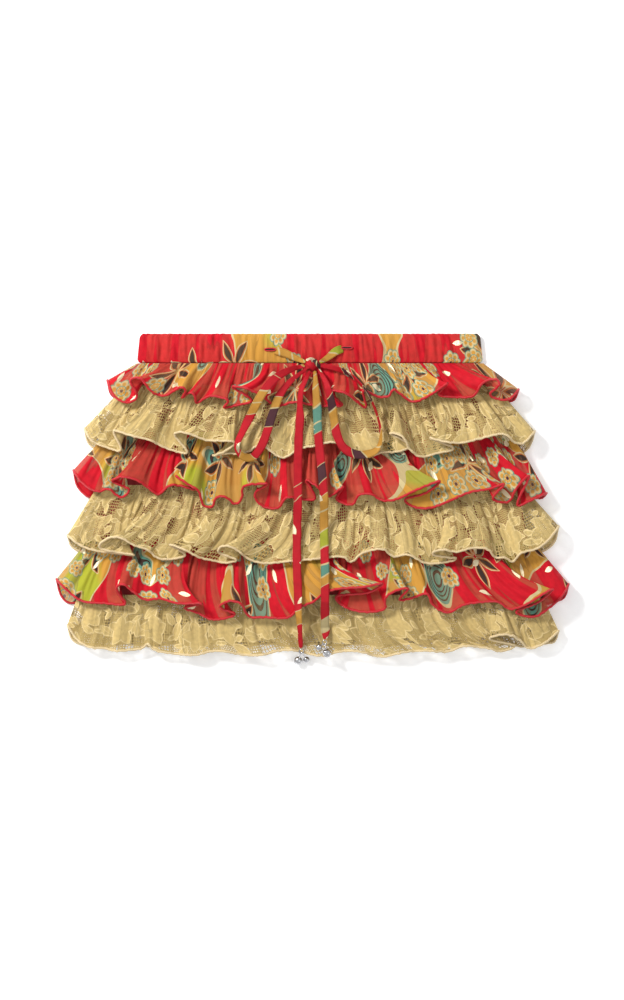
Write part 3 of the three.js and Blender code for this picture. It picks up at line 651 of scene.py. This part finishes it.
def warp(vector, size, amount):
    bend = vector_node("SUBTRACT", noise(vector, size, output="Color"), (0.5, 0.5, 0.5))
    return vector_node("ADD", vector, scaled(bend, amount))


def wave(value, pitch):
    return (value * (FULL_TURN / pitch)).sine()


def weave_height(vector, pitch):
    """Over-and-under height of a plain weave."""
    x, y, _ = split(vector)
    return wave(x, pitch) * wave(y, pitch)


def tinted(colour, share):
    return tuple(min(1, share * part) for part in colour)


def darkened(colour, share, amount):
    """The colour, darker by that amount where share is 1."""
    return mix(share, colour, scaled(colour, 1 - amount))


def leaf(x, y, centre, length, width):
    """Above 0 inside a pointed leaf that lies along x."""
    share = (x - centre) / length
    return (1.0 - share * share) * width - abs(y)


def disc(x, y, centre, radius):
    """Above 0 inside a round spot on x."""
    away = x - centre
    return radius - (away * away + y * y).root()


def star_petals(radius, angle, count, phase):
    """Coordinates along and across the nearest of count petals round a centre."""
    turn = angle * (count / FULL_TURN) + phase
    return from_polar(radius, (turn.fraction() - 0.5) * (FULL_TURN / count))


def turned_leaf(vector, size, randomness, length, width):
    """Leaves one to a cell, each turned its own way: shape, middle line, random numbers."""
    local, chance, _ = cells(vector, size, randomness)
    radius, angle = polar(local)
    x, y = from_polar(radius, angle + chance[1] * FULL_TURN)
    return leaf(x, y, 0.0, length, width), abs(y), chance


def zone_field(vector):
    return noise(vector, 0.105, 0.4)


def ground_zones(vector, colour):
    """Broad areas that pass from ochre to lime, and a few of teal, with cream outlines."""
    field = zone_field(vector)
    turn = noise(moved(vector, 3.1, 1.7), 0.075, 0.3)
    colour = mix(field > 0.578, colour, CREAM)
    colour = mix(field > 0.590, colour, mix((turn - 0.53).clamped(9.0), OCHRE, LIME))
    pool = noise(moved(vector, 5.3, 7.9), 0.060, 0.4)
    colour = mix(pool > 0.722, colour, CREAM)
    colour = mix(pool > 0.742, colour, TEAL)
    scroll = (pool > 0.750) * ((pool * 190.0).sine() > 0.35)
    return mix(scroll, colour, DARK)


def layered(shape, x, y, colour, here, layers):
    """Paints leaves or discs over each other: centre, sizes and colour of each."""
    for *sizes, paint in layers:
        colour = mix((shape(x, y, *sizes) > 0.0) * here, colour, paint)
    return colour


STAR_LEAF = [
    (0.0160, 0.0148, 0.0056, CREAM), (0.0160, 0.0136, 0.0044, SPICE),
    (0.0166, 0.0118, 0.0032, DARK),
]
BLOSSOM = [
    (0.0070, 0.0042, TEAL), (0.0070, 0.0034, CREAM), (0.0064, 0.0020, OCHRE),
    (0.0, 0.0050, TEAL), (0.0, 0.0043, CREAM), (0.0030, 0.0012, OCHRE), (0.0, 0.0017, PLUM),
]


def star_leaves(vector, colour):
    """Stars of dark pointed leaves with cream outlines, most of them on the ochre and lime."""
    local, chance, middle = cells(vector, 0.074, 0.35)
    x, y = star_petals(*polar(local), 6, chance[1])
    here = (zone_field(middle) > 0.570) * 0.8 + chance[0] > 0.84
    return layered(leaf, x, y, colour, here, STAR_LEAF)


def blossoms(vector, colour):
    """Clusters of round blossoms: scalloped petals edged in teal, with ochre hearts."""
    local, chance, middle = cells(vector, 0.0245, 0.18)
    here = noise(moved(middle, 6.1, 4.3), 0.080, 0.3) > 0.615
    x, y = star_petals(*polar(local), 7, chance[1])
    return layered(disc, x, y, colour, here, BLOSSOM)


def doubled_strips(vector):
    """Where gathered cloth lies double, in strips down from the seam, and the folds' edges; the
    cloths paint the edges darker, and lace its strips too, as painted shade.
    """
    above = noise(vector_node("MULTIPLY", vector, (1.0, 0.10, 0)), 0.0135, 1.2) - 0.54
    return above.clamped(60.0), abs(above) < 0.010


def foil_leaves(vector):
    """Mask of bright leaves stamped on the print."""
    shape, _, chance = turned_leaf(vector, 0.037, 0.95, 0.0068, 0.0026)
    return (shape > 0.0) * (chance[0] > 0.5)


def new_material(name):
    material = bpy.data.materials.new(name)
    material.use_nodes = True
    return material


def flat_place(material, x=0, y=0):
    """The flat cloth's metres, moved so that pieces don't repeat each other."""
    node = add_node(material.node_tree, "UVMap", uv_map="flat")
    return moved(Value(node.outputs[0]), x, y)


def object_place(material):
    return Value(add_node(material.node_tree, "TexCoord").outputs["Object"])


def finish(material, looks, height=None, distance=0, strength=1):
    """Feeds the shader's sockets, and its bump from a height."""
    shader = material.node_tree.nodes["Principled BSDF"]
    for socket, value in looks.items():
        put(shader.inputs[socket], value)
    if height is not None:
        inputs = {"Height": height, "Distance": distance, "Strength": strength}
        put(shader.inputs["Normal"], Value(outputs("Bump", inputs)[0]))
    return material


# Chiffon: share of cover that doubled cloth adds, and the pitch of its weave
DOUBLE_COVER = 0.27
CREPE_PITCH = 0.0011


def printed_cloth(name, shift, cover, thin_share):
    """Printed chiffon: floral print over its ground, foil leaves and a crepe weave.

    Single cloth is paler than doubled cloth by thin_share, and the folds' edges carry painted
    crease shade.
    """
    material = new_material(name)
    vector = flat_place(material, *shift)
    bent = warp(vector, 0.034, 0.008)
    colour = mix(noise(vector, 0.007, 3.0), tinted(RED, 0.74), tinted(RED, 1.26))
    for pattern in (ground_zones, star_leaves, blossoms):
        colour = pattern(bent, colour)
    foil = foil_leaves(vector)
    colour = mix(foil, colour, FOIL)
    strip, edge = doubled_strips(vector)
    thin = mix(thin_share, colour, THIN_TINT)
    looks = {
        # The folds' edges are painted 22 % darker: painted crease shade.
        "Base Color": darkened(mix(strip, thin, colour), edge, 0.22),
        "Metallic": foil * 0.7,
        "Roughness": blend(foil, 0.62, 0.32),
        "Alpha": blend(strip, cover, min(1.0, cover + DOUBLE_COVER)) | foil,
        "Specular IOR Level": 0.12,
    }
    return finish(material, looks, weave_height(vector, CREPE_PITCH), 0.00012, 0.6)


def net_threads(vector, pitch, thread):
    inputs = {"Vector": scaled(vector, 1 / pitch), "Scale": 1.0, "Randomness": 0.4}
    return Value(voronoi(inputs, "2D", "DISTANCE_TO_EDGE")["Distance"]) * pitch < thread


def lace_cloth(name, shift):
    """Lace: corded flowers and leaves joined by net, open in some places and close in others, with
    painted shade on its pleats and their creases.
    """
    material = new_material(name)
    vector = flat_place(material, *shift)
    bent = warp(vector, 0.020, 0.007)

    local, chance, _ = cells(bent, 0.040, 0.40)
    radius, angle = polar(local)
    petal = leaf(*star_petals(radius, angle, 5, chance[1]), 0.0078, 0.0086, 0.0058)
    flower = petal | 0.0030 - radius
    big, big_vein, _ = turned_leaf(moved(bent, 0.4, 0.9), 0.0240, 0.9, 0.0092, 0.0042)
    small, _, _ = turned_leaf(moved(bent, 1.3, 0.2), 0.0160, 0.9, 0.0058, 0.0024)
    motif = flower | (big | small)
    solid = motif > 0.0
    vein = (big > 0.0008) * (big_vein < 0.00025)
    raised = (abs(motif) < 0.00060) | (abs(petal) < 0.00035) | vein

    open_net = net_threads(vector, 0.0030, 0.00042)
    close_net = net_threads(vector, 0.0018, 0.00042)
    under_net = net_threads(moved(vector, 0.7, 0.3), 0.0024, 0.00045)
    net = blend(noise(vector, 0.030) > 0.54, close_net, open_net)
    sheer = (chance[2] > 0.70) * (flower > 0.0008)
    strip, edge = doubled_strips(vector)
    cover = blend(sheer, solid, close_net) | raised | net | strip * under_net | edge

    cloth = mix(noise(vector, 0.0035, 3.0), tinted(LACE_SOLID, 0.72), tinted(LACE_SOLID, 1.24))
    colour = mix(raised, mix(solid, LACE_NET, cloth), LACE_CORD)
    looks = {
        # Doubled strips are painted 14 % darker and the folds' edges 30 % darker: painted shade of
        # the pleats and their creases.
        "Base Color": darkened(darkened(colour, strip, 0.14), edge, 0.30),
        "Alpha": cover * 0.97,
        "Roughness": 0.7,
        "Specular IOR Level": 0.3,
        "Sheen Weight": 0.06,
    }
    return finish(material, looks, cover + raised, 0.0003, 0.7)


def rolled_hem(name, colour, pitch, height):
    """Overlocked hem: slanting threads round the rolled edge, painted lighter and darker along the
    slant as shade of their ridges.
    """
    material = new_material(name)
    vector = flat_place(material)
    x, y, _ = split(vector)
    thread = wave(x + y * 0.6, pitch)
    # Painted shade of the thread ridges, from the thread's wave, over a random tone.
    thread_shade_and_tone = thread * 0.2 + noise(vector, 0.009, 2.0)
    looks = {"Base Color": mix(thread_shade_and_tone, tinted(colour, 0.8), tinted(colour, 1.12)),
             "Roughness": 0.45}
    return finish(material, looks, thread, height, 0.8)


def base_cloth():
    material = new_material("base_cloth")
    vector = flat_place(material)
    # Red lining in a random tone, painted dark as shade of the hollow behind the tiers.
    looks = {"Base Color": mix(noise(vector, 0.03, 2.0), LINING_DARK, LINING_LIGHT),
             "Roughness": 0.85}
    return finish(material, looks, weave_height(vector, 0.0009), 0.0001, 0.5)


# Tie: length of a block of the print, and each colour's share of the blocks that aren't red
TIE_BLOCK = 0.016
TIE_PARTS = [(0.40, OCHRE), (0.22, PLUM), (0.08, RED), (0.10, TEAL), (0.12, LIME), (0.08, CREAM)]
EXIT_PARTS = [(0.55, LIME), (0.45, OCHRE)]
CURL_PARTS = [(0.55, TEAL), (0.45, DARK)]


def tie_cloth(name, shift, reds, parts=TIE_PARTS):
    """Folded printed strip: blocks of the print across it, and a sewn edge."""
    material = new_material(name)
    vector = flat_place(material, shift)
    x, y, _ = split(warp(vector, 0.02, 0.006))
    block = {"W": x + y * 0.55, "Scale": 1 / TIE_BLOCK}
    part = split(Value(voronoi(block, "1D")["Color"]), "Color")[0]
    ramp = add_node(material.node_tree, "ValToRGB", {0: part})
    ramp.color_ramp.interpolation = "CONSTANT"
    stops = [(0.0, RED)]
    at = reds
    for share, paint in parts:
        stops.append((at, paint))
        at += (1 - reds) * share
    while len(ramp.color_ramp.elements) < len(stops):
        ramp.color_ramp.elements.new(0.5)
    for element, (at, paint) in zip(ramp.color_ramp.elements, stops):
        element.position = at
        element.color = (*paint, 1)
    to_edge = Value(voronoi(block, "1D", "DISTANCE_TO_EDGE")["Distance"])
    colour = mix((to_edge < 0.05) * (part > reds), Value(ramp.outputs[0]), CREAM)
    foil = foil_leaves(vector)
    colour = mix(foil, colour, FOIL)
    stitch = abs(abs(split(vector)[1]) - TIE_WIDTH / 2 * MM * 0.8) < 0.00028
    looks = {
        "Base Color": darkened(darkened(colour, stitch, 0.28), noise(vector, 0.006, 2.0), 0.3),
        "Metallic": foil * 0.8,
        "Roughness": blend(foil, 0.6, 0.3),
        "Specular IOR Level": 0.2,
    }
    return finish(material, looks, weave_height(vector, CREPE_PITCH), 0.00015, 0.7)


def bell_metal():
    material = new_material("bell_metal")
    # Dark and bright patches over the metal are painted reflection, fixed on the bells.
    painted_reflection = noise(object_place(material), 1 / 320, 2.0, "3D")
    return finish(material, {"Base Color": mix(painted_reflection, STEEL_DARK, STEEL_LIGHT),
                             "Metallic": 1.0, "Roughness": blend(painted_reflection, 0.10, 0.24)})


def floor_paper():
    material = new_material("floor_paper")
    grain = noise(object_place(material), 1 / 60, 2.0, "3D")
    return finish(material, {
        "Base Color": mix(grain, (0.93, 0.93, 0.93), (0.96, 0.96, 0.96)), "Roughness": 0.9,
        "Emission Color": (1, 1, 1, 1), "Emission Strength": 0.20,
    })


# Tie, knot and charms: a height map of the front carries them
CELL = 2.0
MAP_LEFT = -270
MAP_SHAPE = (180, 270)


def height_map(grids):
    """Highest level of the front in square cells of the skirt's plan."""
    heights = np.full(MAP_SHAPE, CORE_AT_WAIST)
    for grid in grids:
        for points in (grid, (grid[:, 1:] + grid[:, :-1]) / 2, (grid[1:] + grid[:-1]) / 2):
            column = np.rint((points[..., 0] - MAP_LEFT) / CELL).astype(int)
            row = np.rint(points[..., 1] / CELL).astype(int)
            np.maximum.at(heights, (row, column), points[..., 2] + HEM_WALL / 2)
    band_top = CORE_AT_WAIST + GAP / 2 + BAND_THICK
    x = MAP_LEFT + np.arange(MAP_SHAPE[1]) * CELL
    rows = round(BAND_HEIGHT / CELL) + 1
    heights[:rows, np.abs(x) <= BAND_LOW_WIDTH / 2] = band_top
    return heights


def top_near(heights, x, down, radius):
    reach = math.ceil(radius / CELL)
    column = round((x - MAP_LEFT) / CELL)
    row = round(down / CELL)
    rows, columns = np.mgrid[max(0, row - reach):row + reach + 1,
                             column - reach:column + reach + 1]
    near = np.hypot(columns - column, rows - row) * CELL <= radius + 0.5 * CELL
    return heights[rows, columns][near].max()


def ring_level(heights, ring):
    x, down, radius = ring
    return top_near(heights, x, down, radius / 2) + GAP + radius


def end_level(heights, knot_level, x, down, z):
    """A strand ends at the knot's middle, at a charm's ring, or on the cloth."""
    if math.hypot(x - KNOT["x"], down - KNOT["down"]) < KNOT["width"]:
        return knot_level
    for charm in CHARMS.values():
        ring = charm["ring"]
        if math.hypot(x - ring[0], down - ring[1]) < 2 * ring[2]:
            return ring_level(heights, ring)
    return z


def evened(values, take):
    """Takes the highest or the mean of up to six neighbours on each side."""
    halves = [min(6, i, len(values) - 1 - i) for i in range(len(values))]
    return np.array([take(values[i - half:i + half + 1]) for i, half in enumerate(halves)])


# A strand comes up through its buttonhole over this depth and length
SLIT_DIP = 3.0
SLIT_REACH = 6.0


def tie_line(heights, knot_level, rows):
    """Middle line of the tie in cloth millimetres, with its width and turn in columns."""
    table = np.array(rows, float)
    table[:, :3] /= MM
    line = rounded_line(table, 0.5)
    along = lengths_along(line[:, :2])
    even = np.linspace(0, along[-1], math.ceil(along[-1] / 2) + 1)
    x, down, width, turn = (np.interp(even, along, line[:, k]) for k in range(4))
    turn = np.radians(turn)
    stand = width / 2 * np.sin(turn) + TIE_THICK / 2 * np.cos(turn)
    reach = width / 2 * np.cos(turn) + 1
    top = np.array([top_near(heights, *at) for at in zip(x, down, reach)]) + stand + GAP
    z = evened(evened(top, np.max), np.mean)
    for end in (0, -1):
        level = end_level(heights, knot_level, x[end], down[end], z[end])
        away = np.hypot(x - x[end], down - down[end])
        share = smooth(0, KNOT_REACH, away)
        z = level + (z - level) * share
    if down[0] < BAND_HEIGHT and abs(x[0]) > KNOT["width"]:
        z = z - SLIT_DIP * (1 - smooth(0, SLIT_REACH, even))
    return spread(x, down, z, width, turn)


TIE_SIDES = 16
TIE_CREASES = [[0.011, 0.22], [0.019, 0.25]]
TIE_UNEVEN = [[0.023, 1.0]]


def tie_piece(name, path, width, turn, material, seed, fullness=1.0):
    """A folded strip with soft edges, a shallow middle and a few cross creases."""
    random = np.random.default_rng(seed)
    ahead, level, up = frames_along(path)
    across = level * np.cos(turn)[:, None] + up * np.sin(turn)[:, None]
    through = np.cross(ahead, across)
    around = turns(TIE_SIDES)
    side = rounded(np.cos(around), 0.55)
    lift = rounded(np.sin(around), 0.75)
    along = lengths_along(path)
    crease = waves(TIE_CREASES, along, random)
    half = width / 2 * (1 + 0.05 * waves(TIE_UNEVEN, along, random))
    hollow = 1 - 0.35 * np.exp(-(side / 0.45) ** 2)
    thick = fullness * TIE_THICK * MM / 2 * (lift * hollow)[None, :]
    ripple = (crease * MM * 0.5)[:, None] * (1 - np.abs(side))[None, :]
    points = (path[:, None, :] + across[:, None, :] * (half[:, None] * side[None, :])[..., None]
              + through[:, None, :] * (thick + ripple)[..., None])
    for end in (0, -1):
        points[end] = path[end] + (points[end] - path[end]) * 0.02
    flat = spread(along[:, None], side * TIE_WIDTH / 2 * MM)
    return mesh_piece(name, points, material, flat, closed=True)


def finer(path):
    """Columns of the same path with twice as many points."""
    at = np.linspace(0, len(path) - 1, 2 * len(path) - 1)
    return [np.interp(at, np.arange(len(path)), column) for column in path.T]


# Print of each strand: where it starts, the share of red in it and its other colours
TIE_PRINTS = {
    "tie_exit_left": (0.11, 0.0, EXIT_PARTS), "tie_exit_right": (0.47, 0.0, EXIT_PARTS),
    "tie_loop_left": (1.31, 0.60), "tie_loop_right": (2.07, 0.40),
    "tie_end_left": (3.53, 0.78), "tie_end_right": (4.19, 0.45),
}


def make_ties(heights, knot_level):
    pieces = {}
    for seed, (name, rows) in enumerate(TIES.items()):
        x, down, z, width, turn = finer(tie_line(heights, knot_level, rows))
        path = place(spread(x, down, z))
        cloth = tie_cloth(name.replace("tie_", "tie_cloth_"), *TIE_PRINTS[name])
        piece = tie_piece(name + "_strip", path, width * MM, turn, cloth, seed)
        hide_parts(name)
        pieces[name] = (piece, path)
    return pieces


# Straps of the knot: start and end in plan, height of the arch, width, where its print
# starts, share of red in it and its other colours
KNOT_FULLNESS = 1.5
KNOT_STRAPS = [
    ["tie_knot_core", (-5.2, 33.4), (9.4, 30.6), 2.6, 7.2, 5.7, 0.9, TIE_PARTS],
    ["tie_knot_curl", (4.6, 26.8), (10.6, 34.6), 3.3, 4.8, 6.3, 0.0, CURL_PARTS],
    ["tie_knot_wrap", (-2.4, 28.2), (5.4, 36.0), 3.9, 7.0, 7.1, 0.9, TIE_PARTS],
]


def make_knot(knot_level):
    """Knot of the bow: strips that arch over each other and tuck in at their ends."""
    for seed, (name, start, end, height, width, shift, reds, parts) in enumerate(KNOT_STRAPS):
        t = np.linspace(0, 1, 26)
        arch = np.sin(np.pi * t) ** 0.7
        bulge = 1.3 * np.sin(np.pi * t)
        x = start[0] + (end[0] - start[0]) * t + bulge * (start[1] - end[1]) / 12
        down = start[1] + (end[1] - start[1]) * t
        z = knot_level - 2.2 + height * arch
        path = place(spread(x, down, z))
        widths = width * (0.72 + 0.28 * np.abs(2 * t - 1))
        cloth = tie_cloth(name + "_cloth", shift, reds, parts)
        piece = tie_piece(name, path, widths * MM, np.zeros(len(t)), cloth,
                          SEEDS["knot"] + seed, KNOT_FULLNESS)
    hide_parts("tie_knot")


BELL_SIDES = 36


def bell_parts(centre, radius, mouth):
    """A round bell: shell with a seam round its middle and a slot across its mouth."""
    tilt = np.linspace(0.02, np.pi - 0.02, 26)[:, None]
    turn = turns(BELL_SIDES)[None, :]
    aside = np.sin(tilt) * np.sin(turn)
    middle = np.exp(-((tilt - np.pi / 2) / 0.09) ** 2)
    slot = np.exp(-(aside / 0.11) ** 2) * smooth(1.9, 2.2, tilt)
    hole = np.exp(-(aside ** 2 + (tilt - 2.05) ** 2) / 0.03) * (np.abs(np.cos(turn)) > 0.5)
    size = radius * (0.955 + 0.045 * middle - 0.20 * np.maximum(slot, hole))
    local = spread(size * np.sin(tilt) * np.cos(turn), size * aside, -size * np.cos(tilt))
    axis = np.asarray(mouth, float) / np.linalg.norm(mouth)
    side = np.cross(axis, (0.3, 0.2, 1.0))
    side /= np.linalg.norm(side)
    return centre + local @ np.stack([side, np.cross(axis, side), axis])


LINK_RADIUS = 0.0006


def make_charm(name, charm, heights, metal):
    ring_x, ring_down, ring_radius = charm["ring"]
    head = place([ring_x, ring_down, ring_level(heights, charm["ring"])])
    made = []
    for number, (x, down, radius) in enumerate(charm["balls"]):
        on_floor = charm["level"] == "floor"
        rest = radius + 0.2 if on_floor else top_near(heights, x, down, radius / 2) + GAP + radius
        centre = place([x, down, rest])
        mouth = centre - head + np.array([0, 0, 0.003])
        shell = bell_parts(centre, radius * MM, mouth)
        flat = np.zeros((*shell.shape[:2], 2))
        made.append(mesh_piece(f"{name}_bell_{number + 1}", shell, metal, flat, closed=True))
        ahead = (centre - head) / np.linalg.norm(centre - head)
        start = head + ahead * ring_radius * MM * 0.3
        stop = centre - ahead * radius * MM * 0.9
        link = start + (stop - start) * np.linspace(0, 1, 10)[:, None]
        made.append(tube_piece(f"{name}_link_{number + 1}", link, LINK_RADIUS, metal))
    turn = np.linspace(0, 2 * np.pi, 40)
    loop = head + spread(0.0021 * np.cos(turn), 0.0024 * np.sin(turn), 0.0006 * np.sin(turn))
    made.append(tube_piece(name + "_ring", loop, 0.00055, metal))
    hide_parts(name)
    return made


# Waistband and base
BAND_ACROSS = 260
BAND_ROUND = 40
BAND_GATHER = 1.25
BAND_FOLDS = [[8.7, 1.5], [14.1, 1.9], [5.6, 1.0]]
BAND_PUCKER = [[4.3, 0.8], [6.1, 0.8]]
BAND_RIM = [[9.0, 0.5], [14.0, 0.45]]


def make_band(front, material):
    """One side of the gathered casing: a flattened tube of cloth with uneven gathers."""
    random = np.random.default_rng(SEEDS["band"] + (0 if front else 1))
    u = np.linspace(0, 1, BAND_ACROSS)[:, None]
    around = turns(BAND_ROUND)[None, :]
    share = (1 - np.cos(around)) / 2
    share = np.where(share < 0.5, 0.5 * (2 * share) ** 0.7, 1 - 0.5 * (2 - 2 * share) ** 0.7)
    outside = np.sin(around)
    half = (BAND_TOP_WIDTH + (BAND_LOW_WIDTH - BAND_TOP_WIDTH) * share) / 2
    half = half - 3.0 * np.clip((np.abs(2 * share - 1) - 0.7) / 0.3, 0, 1) ** 2.2
    x = -half + 2 * half * u
    edge = smooth(0, 6, half - np.abs(x)) * 0.55 + 0.45
    along = u * BAND_LOW_WIDTH
    gathers = waves(BAND_FOLDS, along, random, 2.4 * share, True)
    pucker = waves(BAND_PUCKER, along, random, 0, True) * smooth(0.74, 0.95, share)
    rim = waves(BAND_RIM, along, random) * (1 - smooth(0, 0.12, share))
    full = 0.62 + 0.38 * np.sin(np.pi * np.clip(share, 0.03, 0.97)) ** 0.45
    swell = np.abs(outside) ** 0.35 * full * edge
    if front:
        thick = (BAND_THICK - 1.5) * swell + 0.8 * (gathers + pucker) * swell
        thick = np.clip(thick, 0, BAND_THICK - 0.05)
    else:
        thick = (BAND_THICK - 0.25) * swell
    z = CORE_AT_WAIST + (1 if front else -1) * (GAP / 2 + np.where(outside > 0, thick, 0))
    down = BAND_HEIGHT * share + 0.45 * rim + 0.3
    flat = spread(along * BAND_GATHER * MM, -share * BAND_HEIGHT * MM)
    name = "waistband_front" if front else "waistband_back"
    piece = mesh_piece(name + "_cloth", place(spread(x, down, z)), material, flat, closed=True)
    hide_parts(name)


# Buttonholes that the tie comes out of: middle x and down
BUTTONHOLES = {"buttonhole_left": (-40.0, 16.2), "buttonhole_right": (37.0, 14.4)}
BUTTONHOLE_LONG = 11.0
BUTTONHOLE_HIGH = 2.6
RIM_RADIUS = 0.0006
BUTTONHOLE_LEVEL = CORE_AT_WAIST + GAP / 2 + BAND_THICK - 0.35


def make_buttonholes():
    """A stitched rim round a slit that a near-black sheet fills as painted shade of the opening."""
    thread = rolled_hem("buttonhole_thread", HEM_RED, 0.0007, 0.0001)
    # Near-black sheet in the slit: painted shade of the opening.
    dark = finish(new_material("slit_painted_shade"),
                  {"Base Color": (0.02, 0.004, 0.006), "Roughness": 0.9})
    turn = np.linspace(0, 2 * np.pi, 60)
    for name, (x, down) in BUTTONHOLES.items():
        side = rounded(np.cos(turn), 0.6) * BUTTONHOLE_LONG / 2
        lift = np.sin(turn) * BUTTONHOLE_HIGH / 2
        loop = spread(x + side, down + lift, BUTTONHOLE_LEVEL)
        rim = tube_piece(name + "_rim", place(loop), RIM_RADIUS, thread)
        middle = np.array([x, down, BUTTONHOLE_LEVEL])
        slit = place(middle + (loop - middle) * np.linspace(0, 1, 5)[:, None, None])
        mesh_piece(name + "_slit", slit, dark)


def make_base(front, material):
    offset = (1 if front else -1) * (WALL / 2 + GAP / 2 + 0.05)
    down = np.linspace(BASE_SHAPE[0, 0], BASE_SHAPE[-1, 0], 60)[:, None]
    half = np.interp(down, BASE_SHAPE[:, 0], BASE_SHAPE[:, 1])
    u = np.linspace(-1, 1, 120)[None, :]
    grid = spread(half * u, down, core_level(down) + offset)
    name = "skirt_base_front" if front else "skirt_base_back"
    flat = spread(half * u * MM, -down * MM)
    piece = mesh_piece(name + "_cloth", place(grid), material, flat)
    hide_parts(name)


# Waves in the thickness of each rolled hem: wavelength along it in metres, and size
HEM_UNEVEN = [[0.006, 0.6], [0.0037, 0.5]]


def add_tier(tier, front, grid, flat, cloth, hem_material):
    kind = "chiffon" if tier % 2 == 0 else "lace"
    name = f"tier_{tier + 1}_{'front' if front else 'back'}"
    piece = mesh_piece(name + "_cloth", place(grid), cloth, flat)
    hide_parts(name)
    hem = place(grid[-1])
    random = np.random.default_rng(SEEDS["hem"] + tier)
    along = lengths_along(hem)
    uneven = 1 + 0.1 * waves(HEM_UNEVEN, along, random)
    edge = tube_piece(name + "_hem", hem, HEM_RADIUS[kind] * MM * uneven, hem_material)


# Where the print or lace of each tier starts, and how much single chiffon covers and pales
SHIFTS = [(0.35, 0.62), (1.20, 0.30), (2.48, 1.45), (3.70, 2.10), (4.35, 3.20), (5.90, 4.60)]
CHIFFON_COVER = 0.78
CHIFFON_THIN = 0.12


def make_tiers(front_grids):
    red_hem = rolled_hem("hem_red", HEM_RED, 0.0016, 0.0002)
    cream_hem = rolled_hem("hem_cream", HEM_CREAM, 0.0021, 0.0003)
    for tier, shift in enumerate(SHIFTS):
        if tier % 2 == 0:
            cloth = printed_cloth(f"chiffon_{tier + 1}", shift, CHIFFON_COVER, CHIFFON_THIN)
            hem = red_hem
        else:
            cloth = lace_cloth(f"lace_{tier + 1}", shift)
            hem = cream_hem
        add_tier(tier, True, *front_grids[tier], cloth, hem)
        add_tier(tier, False, *back_tier(tier), cloth, hem)


def make_cords(front_grids):
    heights = height_map([grid for grid, _ in front_grids])
    knot_level = top_near(heights, KNOT["x"], KNOT["down"], 5) + GAP + KNOT["thick"] / 2
    ties = make_ties(heights, knot_level)
    make_knot(knot_level)
    metal = bell_metal()
    charms = {name: make_charm(name, charm, heights, metal) for name, charm in CHARMS.items()}


FLOOR_SIZE = 12
FLOOR_LEVEL = -0.0004


def make_floor():
    bpy.ops.mesh.primitive_plane_add(size=FLOOR_SIZE, location=(0, 0, FLOOR_LEVEL))
    floor = bpy.context.object
    floor.name = "floor"
    floor.data.materials.append(floor_paper())


def main():
    add_camera()
    front_grids = [front_tier(tier) for tier in range(len(TIERS))]
    make_cords(front_grids)
    lining = base_cloth()
    make_base(True, lining)
    make_base(False, lining)
    make_tiers(front_grids)
    band = printed_cloth("waistband_cloth", (6.32, 5.15), 1.0, 0.05)
    make_band(True, band)
    make_band(False, band)
    make_buttonholes()
    make_floor()
    add_light()


main()
